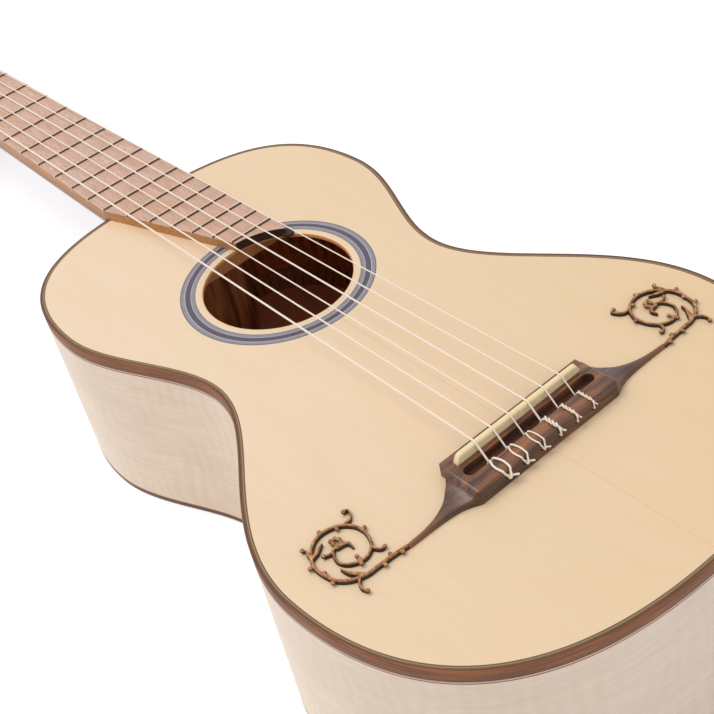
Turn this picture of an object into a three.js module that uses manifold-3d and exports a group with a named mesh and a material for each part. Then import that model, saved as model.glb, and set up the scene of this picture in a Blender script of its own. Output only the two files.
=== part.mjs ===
// A six-string romantic guitar lying on its back: X across (treble side +), Y towards the head, Z up.
// Lengths are in millimetres. The origin is on the rest face, below the middle of the soundhole.
import * as THREE from 'three';
import { mergeVertices } from 'three/addons/utils/BufferGeometryUtils.js';
import Module from 'manifold-3d';

const wasm = await Module();
wasm.setup();

const mix = THREE.MathUtils.lerp;

// Places along the centre line
const scaleLength = 650;
const holeToSaddleShare = 0.28615;
const semitones = 12;
const jointFret = 12;
const fretCount = 18;
const fretDistance = (n) => scaleLength * (1 - 2 ** (-n / semitones));
const saddleY = -scaleLength * holeToSaddleShare;
const nutY = saddleY + scaleLength;
const jointY = nutY - fretDistance(jointFret);

// Body outline, measured from the neck joint down to the tail
const bodyLength = 440;
const tailY = jointY - bodyLength;
const upperBoutWidth = 215;
const waistWidth = 156;
const lowerBoutWidth = 277;
const dropShares = { upper: 0.191, waist: 0.4205, lower: 0.734 };
const upperBoutY = mix(jointY, tailY, dropShares.upper);
const waistY = mix(jointY, tailY, dropShares.waist);
const lowerBoutY = mix(jointY, tailY, dropShares.lower);
const outlineShares = {
  shoulderSide: 0.45,
  shoulderDown: 0.95,
  upperDown: 0.36,
  waistUp: 0.31,
  waistDown: 0.31,
  lowerUp: 0.43,
  lowerDown: 0.46,
  tailSide: 0.83,
};
const outlineSteps = 38;

// Body shell and what holds it together
const bodyDepth = 111;
const topThickness = 2.5;
const backThickness = 2.8;
const ribThickness = 2.2;
const seatGap = 0.3;
const inlayGap = 0.1;
const bindingThickness = 1.2;
const topBindingHeight = 6;
const backBindingHeight = 3.2;
const backBindingRise = 0.4;
const purflingWidth = 1.8;
const purflingDepth = 1.3;
const liningWidth = 5.5;
const liningHeight = 13;
const liningFoot = 4;
const liningEdge = 1.4;
const neckBlockWidth = 64;
const neckBlockLength = 42;
const tailBlockWidth = 60;
const tailBlockLength = 14;

// Soundhole and rosette
const holeRadius = 42.4;
const rosetteInnerRadius = 46.8;
const rosetteOuterRadius = 55.4;
const rosetteDepth = 1.2;
const holeSteps = 40;

// Ladder bracing: two braces keep one distance from the soundhole and one keeps clear of the neck's
// block; the others share out the length of the body
const topBrace = { width: 7, height: 15, endHeight: 5 };
const braceFromHole = 11;
const braceFromBlock = 13;
const lowerBraceShare = 0.857;
const topBracePlaces = {
  upper: jointY - neckBlockLength - braceFromBlock,
  head_side: holeRadius + braceFromHole,
  tail_side: -holeRadius - braceFromHole,
  lower: mix(jointY, tailY, lowerBraceShare),
};
const backBrace = { width: 9, height: 13, endHeight: 4.5 };
const backBraceShares = { upper: 0.175, waist: 0.457, lower: 0.761 };
const braceEndShares = [[0, 0], [0.1, 0.25], [0.3, 1]];

// Neck and heel
const nutWidth = 46.2;
const jointWidth = 56.8;
const neckRise = 2.75;
const shaftDepthAtNut = 14.5;
const shaftDepthAtHeel = 17;
const heelHalfWidth = 17;
const heelLength = 58;
const heelCapLength = 24;
const heelSwell = 48;
const heelCurvePower = 0.38;
const heelCapThickness = 3;
const heelCapRise = 0.5;
const tenonMouthWidth = 22;
const tenonRootWidth = 30;
const tenonLength = 16;
const tenonHeight = 72;
const keelHalfWidth = 1;
const sectionSteps = 6;
const heelSteps = 8;
const shaftSteps = 5;

// Head, measured from the nut along its face
const headAngle = THREE.MathUtils.degToRad(12);
const headThickness = 15;
const headLength = 162;
const headRootWidth = 47;
const headLowerLobe = { width: 72, rise: 44 };
const headWaist = { width: 57, rise: 93 };
const headUpperLobe = { width: 63, rise: 127 };
const headRootShare = 1 / 3;
const headSteps = 7;

// Fingerboard, frets and nut
const boardThickness = 6.5;
const boardEndRadius = 40.8;
const boardBassTip = 2;
const boardCornerRadius = 1;
const boardEndSteps = 10;
const boardCornerSteps = 2;
const fretCrownWidth = 2.2;
const fretCrownHeight = 1.1;
const fretTangWidth = 0.6;
const fretTangDepth = 1.8;
const fretEndInset = 0.3;
const fretCrownShares = [[-0.5, 0], [-0.36, 0.7], [0, 1], [0.36, 0.7], [0.5, 0]];
const nutLength = 5;
const nutCrown = 2.1;
const nutSlotDrop = THREE.MathUtils.degToRad(15);
const stringOverBoard = 1.35;

// Bridge, measured from the saddle's line towards the tail; its stems run out to the scrolls
const bridgeHalfLength = 44.5;
const bridgeFront = 6;
const bridgeRear = 21;
const bridgeHeight = 8;
const stemFromScroll = 21.5;
const stemSweepShare = 0.571;
const stemDrop = 15.5;
const stemWidth = 1.8;
const stemHeight = 2.4;
const stemFrontShares = [[0.1, 0.07], [0.36, 0.36], [0.65, 0.67], [1, 0.95]];
const stemRearShares = [[1, 1.03], [0.5, 1.07], [0.2, 1.18]];
const stemTopShares = [[0.06, 0.62], [0.2, 0.34], [0.45, 0.13], [1, 0]];
const saddleHalfLength = 40;
const saddleThickness = 3.2;
const saddleHeight = 13;
const saddleSeatHeight = 4.2;
const saddleEndSlope = 2.4;
const saddleCrownSteps = 6;
const channelFront = 4.6;
const channelRear = 11;
const channelFloor = 3;
const channelHalfLength = 41.5;
const stringHoleRadius = 1.3;
const stringHoleHeight = 4.2;
const stringHoleSides = 8;
const tieChamfer = 1.1;

// Scroll of the treble side: places are in eye radii from the scroll's middle, outwards along the
// bridge first and towards the head second
const scrollFromEdge = 34;
const scrollRise = 4.5;
const scrollRadius = 14.8;
const vineWidth = 2;
const vineHeight = 2.4;
const vineTipShare = 0.7;
const vineStep = 3.4;
const tendrilWidth = 1.5;
const leafWidth = 2.6;
const leafTipShare = 0.12;
const ballRadius = 1.35;
const budRadius = 1.15;
const budLap = 0.23;
const petalCount = 5;
const petalRingRadius = 1.32;
const carvingTolerance = 0.08;
const vineSectionShares = [[0.5, 0], [0.44, 0.62], [0, 1], [-0.44, 0.62], [-0.5, 0]];
const vineShares = [
  [-1.45, -1.36], [-1.02, -1.29], [-0.5, -1.25], [-0.02, -1.19], [0.32, -1.07], [0.64, -0.89],
  [0.86, -0.59], [0.94, -0.22], [0.95, 0.12], [0.78, 0.53], [0.53, 0.82], [0.2, 0.99],
  [-0.16, 1.03], [-0.52, 0.9], [-0.76, 0.72], [-0.95, 0.3], [-0.93, -0.14], [-0.78, -0.48],
  [-0.47, -0.66], [-0.14, -0.74], [0.12, -0.64], [0.27, -0.38], [0.27, -0.1], [0.18, 0.14],
  [0.02, 0.23],
];
const tendrilShares = [
  [[-0.86, 0.62], [-1, 0.86], [-1, 1.04], [-0.86, 1.14]],
  [[-0.74, -0.56], [-0.8, -0.78], [-0.98, -0.84]],
  [[0.3, -1.05], [0.5, -1.32], [0.44, -1.6]],
  [[0.76, 0.62], [0.82, 0.86], [0.74, 1.02]],
];
const leafShares = [
  [[0.05, -1.18], [0.38, -0.86], [0.44, -0.54]],
  [[0.66, 0.68], [0.36, 0.66], [0.16, 0.76]],
];
// How far along the vine each bud sits, and on which side of it
const budShares = [
  [0.03, 1], [0.062, -1], [0.11, 1], [0.282, -1], [0.328, 1],
  [0.383, -1], [0.526, -1], [0.596, 1], [0.689, -1], [0.858, -1],
];

// Strings, from treble to bass, and their ties on the bridge
const stringDiameters = [0.72, 0.82, 1.02, 0.78, 0.94, 1.14];
const nutStringSpan = 40.6;
const saddleStringSpan = 56;
const stringSides = 6;
const strandGap = 0.5;
const saddleWrap = THREE.MathUtils.degToRad(48);
const saddleWrapSteps = 4;
const twistedTies = 3;
const twistTurns = 2.5;
const twistSteps = 8;
const twistRadiusShare = 1.3;
const twistEndShare = 1.6;
const tieStepShare = 1.45;

// A tie is laid over the faces of the tie block. Each row is a face, how many strands it stands off to
// the treble side, how far along the face, and how many strands it is lifted off.
const simpleTieShares = [
  ['rear', 0.4, 0.3, 1], ['rear', 0.85, 0.85, 1], ['top', 1.3, 1, 0.8],
  ['top', 1.45, 0.85, 0.15], ['top', 1.6, 0.5, 0], ['top', 1.45, 0.1, 0],
  ['top', 1.45, -0.04, -0.1], ['front', 1.45, 0.6, 0.7],
  ['channel', 1.2, 0.36, 1.3], ['channel', 0, 0.3, 1], ['channel', -1.2, 0.36, 1.3],
  ['front', -1.45, 0.6, 0.7], ['top', -1.45, -0.04, -0.1],
  ['top', -1.45, 0.1, 0], ['top', -1.6, 0.5, 0], ['top', -1.4, 0.9, 0],
  ['rear', -1.4, 0.9, 0], ['rear', -0.3, 0.62, 0], ['rear', 1.2, 0.55, 0], ['rear', 2.2, 0.5, 0.2],
];
const twistedTieShares = [
  ['rear', 0, 0.3, 0.3], ['rear', 0, 1, 0.4], ['top', 0, 0.96, 1.3],
  ['top', 0, 0.5, 1.3], ['top', 0, 0.16, 1.3], ['top', 1, -0.04, 0.3],
  ['front', 1.45, 0.6, 0.7],
  ['channel', 1.2, 0.36, 1.3], ['channel', 0, 0.3, 1], ['channel', -1.2, 0.36, 1.3],
  ['top', -1.45, -0.04, -0.1],
];
const twistedTailShares = [['rear', 1.4, 1, 0.1], ['rear', 1.6, 0.6, 0.2]];

// Pegs: tapered wooden pins pushed in from behind the head, and the strings' turns round them
const pegRises = [42, 80, 118];
const pegSideways = [23, 20, 17];
const pegTipRadius = 3.5;
const pegBackRadius = 4.4;
const pegTipRise = 17;
const pegCollarRadius = 6.2;
const pegCollarLength = 3;
const pegNeckRadius = 3.4;
const pegNeckLength = 6;
const pegThumb = { length: 17, width: 21, thickness: 7 };
const pegThumbSides = 10;
const pegThumbRings = 6;
const pegClearance = 0.1;
const pegSides = 16;
const pegHoleRise = 11.5;
const pegHoleRadius = 1;
const pegHoleSides = 6;
const windingTurns = 2.75;
const windingSteps = 10;
const windingRise = 4.2;
const windingGap = 0.8;
const windingEndShares = [[0.9, 0.45, 0.6], [0.25, 0.75, 0.9], [0, 0.3, 1]];

const overrun = 5;
const plateTop = bodyDepth - topThickness;
const boardTilt = Math.atan(neckRise / (nutY - jointY));
const heelFloor = heelCapRise + heelCapThickness + inlayGap;
const pegTaper = (pegBackRadius - pegTipRadius) / (pegTipRise + headThickness);
const stringCount = stringDiameters.length;

const v2 = (x, y) => new THREE.Vector2(x, y);
const v3 = (x, y, z) => new THREE.Vector3(x, y, z);
const steps = (count) => Array.from({ length: count + 1 }, (_, i) => i / count);
const mirrored = (points) => points.map((point) => v2(-point.x, point.y)).reverse();

// Solids and prisms
function solidOf(geometry) {
  const bare = geometry.clone();
  bare.deleteAttribute('normal');
  bare.deleteAttribute('uv');
  const merged = mergeVertices(bare);
  const mesh = new wasm.Mesh({
    numProp: 3,
    vertProperties: Float32Array.from(merged.attributes.position.array),
    triVerts: Uint32Array.from(merged.index.array),
  });
  return new wasm.Manifold(mesh);
}

function geometryOf(solid) {
  const mesh = solid.getMesh();
  const geometry = new THREE.BufferGeometry();
  geometry.setAttribute('position', new THREE.BufferAttribute(mesh.vertProperties, 3));
  geometry.setIndex(new THREE.BufferAttribute(mesh.triVerts, 1));
  geometry.computeVertexNormals();
  return geometry;
}

const join = (pieces) => geometryOf(pieces.map(solidOf).reduce((sum, piece) => sum.add(piece)));
const overlapOf = (first, second) => geometryOf(solidOf(first).intersect(solidOf(second)));

function cut(base, tools) {
  return geometryOf(tools.map(solidOf).reduce((rest, tool) => rest.subtract(tool), solidOf(base)));
}

function prismUp(points, low, high) {
  const shape = new THREE.Shape(points);
  return new THREE.ExtrudeGeometry(shape, { depth: high - low, bevelEnabled: false }).translate(0, 0, low);
}

// A profile drawn in (y, z), swept from one x to another
function prismAcross(points, from, to) {
  const turn = new THREE.Matrix4().makeBasis(v3(0, 1, 0), v3(0, 0, 1), v3(1, 0, 0));
  return prismUp(points, from, to).applyMatrix4(turn);
}

// A profile drawn in (x, z), swept from one y to another
function prismAlong(points, from, to) {
  const turn = new THREE.Matrix4().makeBasis(v3(1, 0, 0), v3(0, 0, 1), v3(0, -1, 0));
  return prismUp(points, -to, -from).applyMatrix4(turn);
}

function box([x0, x1], [y0, y1], [z0, z1]) {
  return prismUp([v2(x0, y0), v2(x1, y0), v2(x1, y1), v2(x0, y1)], z0, z1);
}

function ring(inner, outer, low, high) {
  const profile = [v2(inner, low), v2(outer, low), v2(outer, high), v2(inner, high), v2(inner, low)];
  return new THREE.LatheGeometry(profile, holeSteps).rotateX(Math.PI / 2);
}

// Twice the area of a flat outline or a set of faces, as a vector along its normal
function areaOf(points) {
  const sum = v3(0, 0, 0);
  points.forEach((point, i) => sum.add(point.clone().cross(points[(i + 1) % points.length])));
  return sum;
}

const middleOf = (points) => points.reduce((sum, p) => sum.add(p), v3(0, 0, 0)).divideScalar(points.length);

// The faces that close one end of a loft, turned to face the given way
function endFaces(points, facing) {
  const normal = areaOf(points);
  const [x, y, z] = normal.toArray().map(Math.abs);
  const flat = points.map((p) => {
    if (z >= x && z >= y) {
      return v2(p.x, p.y);
    }
    return x >= y ? v2(p.y, p.z) : v2(p.z, p.x);
  });
  const faces = THREE.ShapeUtils.triangulateShape(flat, []);
  const sum = v3(0, 0, 0);
  faces.forEach((face) => sum.add(areaOf(face.map((i) => points[i]))));
  return sum.dot(facing) > 0 ? faces.flat() : faces.flat().reverse();
}

// Joins equal rings of points into one closed skin, with an end face on the first and on the last
function loft(drawnRings) {
  const sides = drawnRings[0].length;
  const ahead = middleOf(drawnRings[1]).sub(middleOf(drawnRings[0]));
  const forward = areaOf(drawnRings[0]).dot(ahead) > 0;
  const rings = forward ? drawnRings : drawnRings.map((points) => points.slice().reverse());
  const index = [];
  for (let r = 0; r < rings.length - 1; r += 1) {
    for (let s = 0; s < sides; s += 1) {
      const a = r * sides + s;
      const b = r * sides + ((s + 1) % sides);
      index.push(a, b, b + sides, a, b + sides, a + sides);
    }
  }
  const lastStart = (rings.length - 1) * sides;
  const behind = middleOf(rings.at(-1)).sub(middleOf(rings.at(-2)));
  index.push(...endFaces(rings[0], ahead.negate()));
  index.push(...endFaces(rings.at(-1), behind).map((i) => i + lastStart));
  const geometry = new THREE.BufferGeometry().setFromPoints(rings.flat());
  geometry.setIndex(index);
  geometry.computeVertexNormals();
  return geometry;
}

// The treble half of the body's outline, from the neck joint to the tail
function bodyHalfCurve() {
  const upper = v2(upperBoutWidth / 2, upperBoutY);
  const waist = v2(waistWidth / 2, waistY);
  const lower = v2(lowerBoutWidth / 2, lowerBoutY);
  const share = outlineShares;
  const path = new THREE.CurvePath();
  path.add(new THREE.CubicBezierCurve(
    v2(0, jointY),
    v2(share.shoulderSide * upper.x, jointY),
    v2(upper.x, mix(upper.y, jointY, share.shoulderDown)),
    upper,
  ));
  path.add(new THREE.CubicBezierCurve(
    upper,
    v2(upper.x, mix(upper.y, waist.y, share.upperDown)),
    v2(waist.x, mix(waist.y, upper.y, share.waistUp)),
    waist,
  ));
  path.add(new THREE.CubicBezierCurve(
    waist,
    v2(waist.x, mix(waist.y, lower.y, share.waistDown)),
    v2(lower.x, mix(lower.y, waist.y, share.lowerUp)),
    lower,
  ));
  path.add(new THREE.CubicBezierCurve(
    lower,
    v2(lower.x, mix(lower.y, tailY, share.lowerDown)),
    v2(share.tailSide * lower.x, tailY),
    v2(0, tailY),
  ));
  return path;
}

// Points on that outline, each with the direction that leads into the body
function outlineSpots() {
  const path = bodyHalfCurve();
  const spots = steps(outlineSteps).map((share) => {
    const along = path.getTangentAt(share);
    return { point: path.getPointAt(share), inward: v2(along.y, -along.x) };
  });
  spots[0].inward.set(0, -1);
  spots.at(-1).inward.set(0, 1);
  return spots;
}

const halfOutline = outlineSpots();

function insetPoint(spot, inset, side) {
  const point = spot.point.clone().addScaledVector(spot.inward, inset);
  return v2(side * point.x, point.y);
}

function bodyOutline(inset) {
  const treble = halfOutline.map((spot) => insetPoint(spot, inset, 1));
  return treble.concat(mirrored(treble.slice(1, -1)));
}

// Half the clear width between two like insets at one place along the body
function halfWidthAt(y, inset) {
  const line = halfOutline.map((spot) => insetPoint(spot, inset, 1));
  const after = line.findIndex((point) => point.y <= y);
  const [a, b] = [line[after - 1], line[after]];
  return mix(a.x, b.x, (a.y - y) / (a.y - b.y));
}

function spotAtHalfWidth(half, order) {
  const after = order.findIndex((spot) => spot.point.x > half);
  const [a, b] = [order[after - 1], order[after]];
  const share = (half - a.point.x) / (b.point.x - a.point.x);
  return {
    point: a.point.clone().lerp(b.point, share),
    inward: a.inward.clone().lerp(b.inward, share).normalize(),
  };
}

// The outline's spots on one side, from a half width at the neck to one at the tail
function sideSpots(side, neckHalf, tailHalf) {
  const kept = halfOutline.filter(({ point }) => point.x > (point.y > waistY ? neckHalf : tailHalf));
  const first = spotAtHalfWidth(neckHalf, halfOutline);
  const last = spotAtHalfWidth(tailHalf, halfOutline.slice().reverse());
  return [first, ...kept, last].map((spot) => ({ spot, side }));
}

// A strip with a section drawn in (inset, height), bent along the listed spots
function bentStrip(spots, section) {
  return loft(spots.map(({ spot, side }) => section.map(([inset, height]) => {
    const flat = insetPoint(spot, inset, side);
    return v3(flat.x, flat.y, height);
  })));
}

// The tenon is a dovetail, so what passes beside it keeps clear of its widest part there
const tenonFlare = (tenonRootWidth - tenonMouthWidth) / 2 / tenonLength;
const tenonGapHalf = tenonMouthWidth / 2 + tenonFlare * ribThickness + seatGap;

function stripRoundTheTail(near, far, low, high) {
  const treble = sideSpots(1, tenonGapHalf, 0).slice(0, -1);
  const bass = sideSpots(-1, tenonGapHalf, 0).reverse();
  return bentStrip(treble.concat(bass), [[near, low], [near, high], [far, high], [far, low]]);
}

function topBinding() {
  return stripRoundTheTail(0, bindingThickness, bodyDepth - topBindingHeight, bodyDepth);
}

function backBinding() {
  return stripRoundTheTail(0, bindingThickness, backBindingRise, backBindingRise + backBindingHeight);
}

const purflingNear = bindingThickness + inlayGap;
const purflingFar = purflingNear + purflingWidth;
const topPurfling = () => stripRoundTheTail(purflingNear, purflingFar, bodyDepth - purflingDepth, bodyDepth);

// The soundboard has a ledge for the purfling and a channel for the rosette
function soundboard() {
  const ledge = bodyDepth - purflingDepth - inlayGap;
  const plate = join([
    prismUp(bodyOutline(purflingNear), plateTop, ledge),
    prismUp(bodyOutline(purflingFar + inlayGap), mix(plateTop, ledge, 1 / 2), bodyDepth),
  ]);
  const hole = new THREE.CylinderGeometry(holeRadius, holeRadius, bodyDepth, holeSteps);
  hole.rotateX(Math.PI / 2).translate(0, 0, bodyDepth);
  const channelDepth = rosetteDepth + inlayGap;
  const channel = ring(
    rosetteInnerRadius - inlayGap,
    rosetteOuterRadius + inlayGap,
    bodyDepth - channelDepth,
    bodyDepth + overrun,
  );
  return cut(plate, [hole, channel]);
}

const rosette = () => ring(rosetteInnerRadius, rosetteOuterRadius, bodyDepth - rosetteDepth, bodyDepth);
const back = () => prismUp(bodyOutline(purflingNear), 0, backThickness);

// A rib is thinner at both edges, where the bindings and the plates are let in
function rib(side) {
  const tongue = bindingThickness + inlayGap;
  const topFoot = bodyDepth - topBindingHeight - inlayGap;
  const backHead = backBindingRise + backBindingHeight + inlayGap;
  return bentStrip(sideSpots(side, tenonGapHalf, seatGap / 2), [
    [0, backHead],
    [0, topFoot],
    [tongue, topFoot],
    [tongue, plateTop],
    [ribThickness, plateTop],
    [ribThickness, backThickness],
    [tongue, backThickness],
    [tongue, backHead],
  ]);
}

// A lining has its wide edge against a plate and thins away from it along the rib
function lining(side, seat, towards) {
  const near = ribThickness + seatGap;
  const far = near + liningWidth;
  const neckHalf = (neckBlockWidth + liningWidth) / 2;
  const tailHalf = (tailBlockWidth + liningWidth) / 2;
  return bentStrip(sideSpots(side, neckHalf, tailHalf), [
    [near, seat],
    [far, seat],
    [far, seat + towards * liningFoot],
    [near + liningEdge, seat + towards * liningHeight],
    [near, seat + towards * liningHeight],
  ]);
}

// A block fills the body's end between its two plates; its outer face follows the ribs
function endBlock(width, length, neckEnd) {
  const inset = ribThickness + seatGap;
  const order = neckEnd ? halfOutline : halfOutline.slice().reverse();
  const line = order.map((spot) => insetPoint(spot, inset, 1));
  const after = line.findIndex((point) => point.x > width / 2);
  const [a, b] = [line[after - 1], line[after]];
  const corner = a.clone().lerp(b, (width / 2 - a.x) / (b.x - a.x));
  const innerY = line[0].y + (neckEnd ? -length : length);
  const treble = [...line.slice(0, after), corner, v2(width / 2, innerY)];
  return prismUp(treble.concat(mirrored(treble.slice(1))), backThickness, plateTop);
}

// The dovetail's plan: wider at its root, so that it goes in only from above
function dovetail(grow, low, high) {
  const root = tenonRootWidth / 2 + grow;
  const face = tenonMouthWidth / 2 + grow - tenonFlare * overrun;
  const rootY = jointY - tenonLength - grow;
  const faceY = jointY + overrun;
  return prismUp([v2(-face, faceY), v2(-root, rootY), v2(root, rootY), v2(face, faceY)], low, high);
}

const tenonFoot = plateTop - tenonHeight;
const tenonTop = bodyDepth - topBindingHeight - seatGap;

function neckBlock() {
  const block = endBlock(neckBlockWidth, neckBlockLength, true);
  return cut(block, [dovetail(seatGap, tenonFoot - seatGap, plateTop + overrun)]);
}

const tailBlock = () => endBlock(tailBlockWidth, tailBlockLength, false);

// A brace is scooped down at both ends so that it passes under the linings' edge
function brace(y, { width, height, endHeight }, seat, towards) {
  const inset = ribThickness + liningWidth + 2 * seatGap;
  const half = Math.min(halfWidthAt(y - width / 2, inset), halfWidthAt(y + width / 2, inset));
  const trebleEnd = braceEndShares.map(([along, up]) => v2(
    half * (1 - along),
    seat + towards * mix(endHeight, height, up),
  ));
  const treble = [v2(half, seat), ...trebleEnd];
  return prismAlong(treble.concat(mirrored(treble)), y - width / 2, y + width / 2);
}

// Neck
const boardHalfWidthAt = (y) => mix(jointWidth, nutWidth, (y - jointY) / (nutY - jointY)) / 2;
const neckTopAt = (y) => bodyDepth + Math.tan(boardTilt) * (y - jointY);

const heelEnd = jointY + heelLength;

function shaftDepthAt(y) {
  return mix(shaftDepthAtHeel, shaftDepthAtNut, Math.max(y - heelEnd, 0) / (nutY - heelEnd));
}

function heelDepthAt(y) {
  const out = y - jointY;
  const floorDepth = bodyDepth - heelFloor;
  if (out <= heelCapLength) {
    return floorDepth + heelSwell * (1 - (out / heelCapLength) ** 2);
  }
  const share = Math.min((out - heelCapLength) / (heelLength - heelCapLength), 1);
  return mix(floorDepth, shaftDepthAtHeel, share ** heelCurvePower);
}

// Half the width of a half ellipse, at one depth below its flat side
const ellipseHalf = (half, deep, depth) => half * Math.sqrt(Math.max(1 - (depth / deep) ** 2, 0));

// The shaft's section is half an ellipse. Towards the body a narrower and deeper one grows out of it
// and ends on the heel's flat foot.
function neckSection(y) {
  const shaftDepth = shaftDepthAt(y);
  const depth = Math.max(shaftDepth, Math.min(heelDepthAt(y), neckTopAt(y) - heelFloor));
  const treble = steps(sectionSteps).map((share) => {
    const turned = Math.sin((Math.PI / 2) * share);
    const down = turned * mix(shaftDepth, depth, turned ** 3);
    const half = Math.max(
      ellipseHalf(boardHalfWidthAt(y), shaftDepth, down),
      ellipseHalf(heelHalfWidth, heelDepthAt(y), down),
      keelHalfWidth,
    );
    return v3(half, y, neckTopAt(y) - down);
  });
  return treble.concat(treble.map((point) => v3(-point.x, y, point.z)).reverse());
}

function neck() {
  const places = [
    jointY - overrun,
    ...steps(heelSteps).map((share) => jointY + heelCapLength * share),
    ...steps(heelSteps).slice(1).map((share) => jointY + mix(heelCapLength, heelLength, share ** 2)),
    ...steps(shaftSteps).slice(1).map((share) => mix(heelEnd, nutY + nutLength, share)),
  ];
  const bodySide = prismUp(bodyOutline(-seatGap), -overrun, bodyDepth + neckRise + overrun);
  const shaft = cut(loft(places.map(neckSection)), [bodySide]);
  const half = jointWidth / 2;
  const reach = box([-half, half], [jointY - tenonLength, jointY + overrun / 2], [0, bodyDepth]);
  return join([shaft, overlapOf(dovetail(0, tenonFoot, tenonTop), reach)]);
}

// The cap closes the heel's flat foot and has the foot's outline
function heelCap() {
  const treble = steps(heelSteps).map((share) => {
    const y = jointY + mix(seatGap, heelCapLength, share);
    return v2(ellipseHalf(heelHalfWidth, heelDepthAt(y), neckTopAt(y) - heelFloor), y);
  });
  return prismUp(treble.concat(mirrored(treble.slice(0, -1))), heelCapRise, heelCapRise + heelCapThickness);
}

// Fingerboard, in a frame that starts at the joint and tilts with the neck: the bass edge runs in to
// the middle beyond the joint, and the end is hollowed round the soundhole
const boardNut = nutY - jointY;
const boardHalfAt = (y) => boardHalfWidthAt(jointY + y);
const boardArc = (x) => -jointY + Math.sqrt(boardEndRadius ** 2 - x ** 2);
const boardTip = boardArc(boardBassTip);
const bassEdgeAt = (y) => (y < 0 ? mix(-boardHalfAt(0), boardBassTip, y / boardTip) : -boardHalfAt(y));

function boardPlan() {
  const trebleEdge = boardHalfAt(boardTip);
  const arcEnd = trebleEdge - boardCornerRadius;
  const cornerY = boardArc(arcEnd) + boardCornerRadius;
  const corner = steps(boardCornerSteps).slice(1).map((share) => v2(
    arcEnd + boardCornerRadius * Math.sin((Math.PI / 2) * share),
    cornerY - boardCornerRadius * Math.cos((Math.PI / 2) * share),
  ));
  return [
    v2(-boardHalfAt(boardNut), boardNut),
    v2(-boardHalfAt(0), 0),
    ...steps(boardEndSteps).map((share) => mix(boardBassTip, arcEnd, share)).map((x) => v2(x, boardArc(x))),
    ...corner,
    v2(boardHalfAt(boardNut), boardNut),
  ];
}

const fretPlace = (n) => boardNut - fretDistance(n);

function fingerboard() {
  const reach = jointWidth / 2;
  const blank = prismAcross([
    v2(-jointY, Math.tan(boardTilt) * jointY + inlayGap),
    v2(0, inlayGap),
    v2(boardNut, inlayGap),
    v2(boardNut, boardThickness),
    v2(-jointY, boardThickness),
  ], -reach, reach + overrun);
  const board = overlapOf(blank, prismUp(boardPlan(), -overrun, boardThickness + overrun));
  const slotHalf = fretTangWidth / 2 + inlayGap;
  const slotFloor = boardThickness - fretTangDepth - inlayGap;
  const slots = [];
  for (let n = 1; n <= fretCount; n += 1) {
    const across = [-reach - overrun, reach + overrun];
    const along = [fretPlace(n) - slotHalf, fretPlace(n) + slotHalf];
    slots.push(box(across, along, [slotFloor, boardThickness + overrun]));
  }
  return cut(board, slots);
}

// A fret is a crown with a tang under it
function fret(n) {
  const y = fretPlace(n);
  const seat = boardThickness + inlayGap;
  const foot = boardThickness - fretTangDepth;
  const half = fretTangWidth / 2;
  const crown = fretCrownShares.map(([across, up]) => v2(
    y + across * fretCrownWidth,
    seat + up * fretCrownHeight,
  ));
  const tang = [v2(y + half, seat), v2(y + half, foot), v2(y - half, foot), v2(y - half, seat)];
  return prismAcross(crown.concat(tang), bassEdgeAt(y) + fretEndInset, boardHalfAt(y) - fretEndInset);
}

// Where each string lies over the nut and over the saddle
const stringSide = (i) => 1 - (2 * i) / (stringCount - 1);
const nutX = (i) => (stringSide(i) * nutStringSpan) / 2;
const saddleX = (i) => (stringSide(i) * saddleStringSpan) / 2;
const nutStringZ = neckTopAt(nutY) + boardThickness + stringOverBoard;

// Nut: a bone bar, lower towards the head, with a slot for each string
function nut() {
  const low = neckTopAt(nutY) + seatGap;
  const crown = neckTopAt(nutY) + boardThickness + nutCrown;
  const front = nutY + inlayGap;
  const rear = nutY + nutLength;
  const ridge = (front + rear) / 2;
  const profile = [
    v2(front, low),
    v2(rear, low),
    v2(rear, crown - nutLength / 2),
    v2(ridge, crown),
    v2(front, crown),
  ];
  const slots = stringDiameters.map((diameter, i) => {
    const reach = diameter / 2 + seatGap;
    const floor = nutStringZ - reach;
    const fall = Math.tan(nutSlotDrop) * (rear + overrun - ridge);
    return prismAcross([
      v2(front - overrun, floor),
      v2(ridge, floor),
      v2(rear + overrun, floor - fall),
      v2(rear + overrun, crown + overrun),
      v2(front - overrun, crown + overrun),
    ], nutX(i) - reach, nutX(i) + reach);
  });
  return cut(prismAcross(profile, -nutWidth / 2, nutWidth / 2), slots);
}

// The head's frame starts at the outer edge of the nut and leans back
const headOrigin = v3(0, nutY + nutLength + seatGap, neckTopAt(nutY + nutLength) - seatGap);
const headMatrix = new THREE.Matrix4().makeRotationX(-headAngle).setPosition(headOrigin);
const inHead = (x, y, z) => v3(x, y, z).applyMatrix4(headMatrix);

// The outer strings go to the pegs nearest the nut
function pegPlace(i) {
  const fromOutside = Math.min(i, stringCount - 1 - i);
  const side = Math.sign(stringSide(i));
  return { x: side * pegSideways[fromOutside], y: pegRises[fromOutside], side };
}

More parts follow.
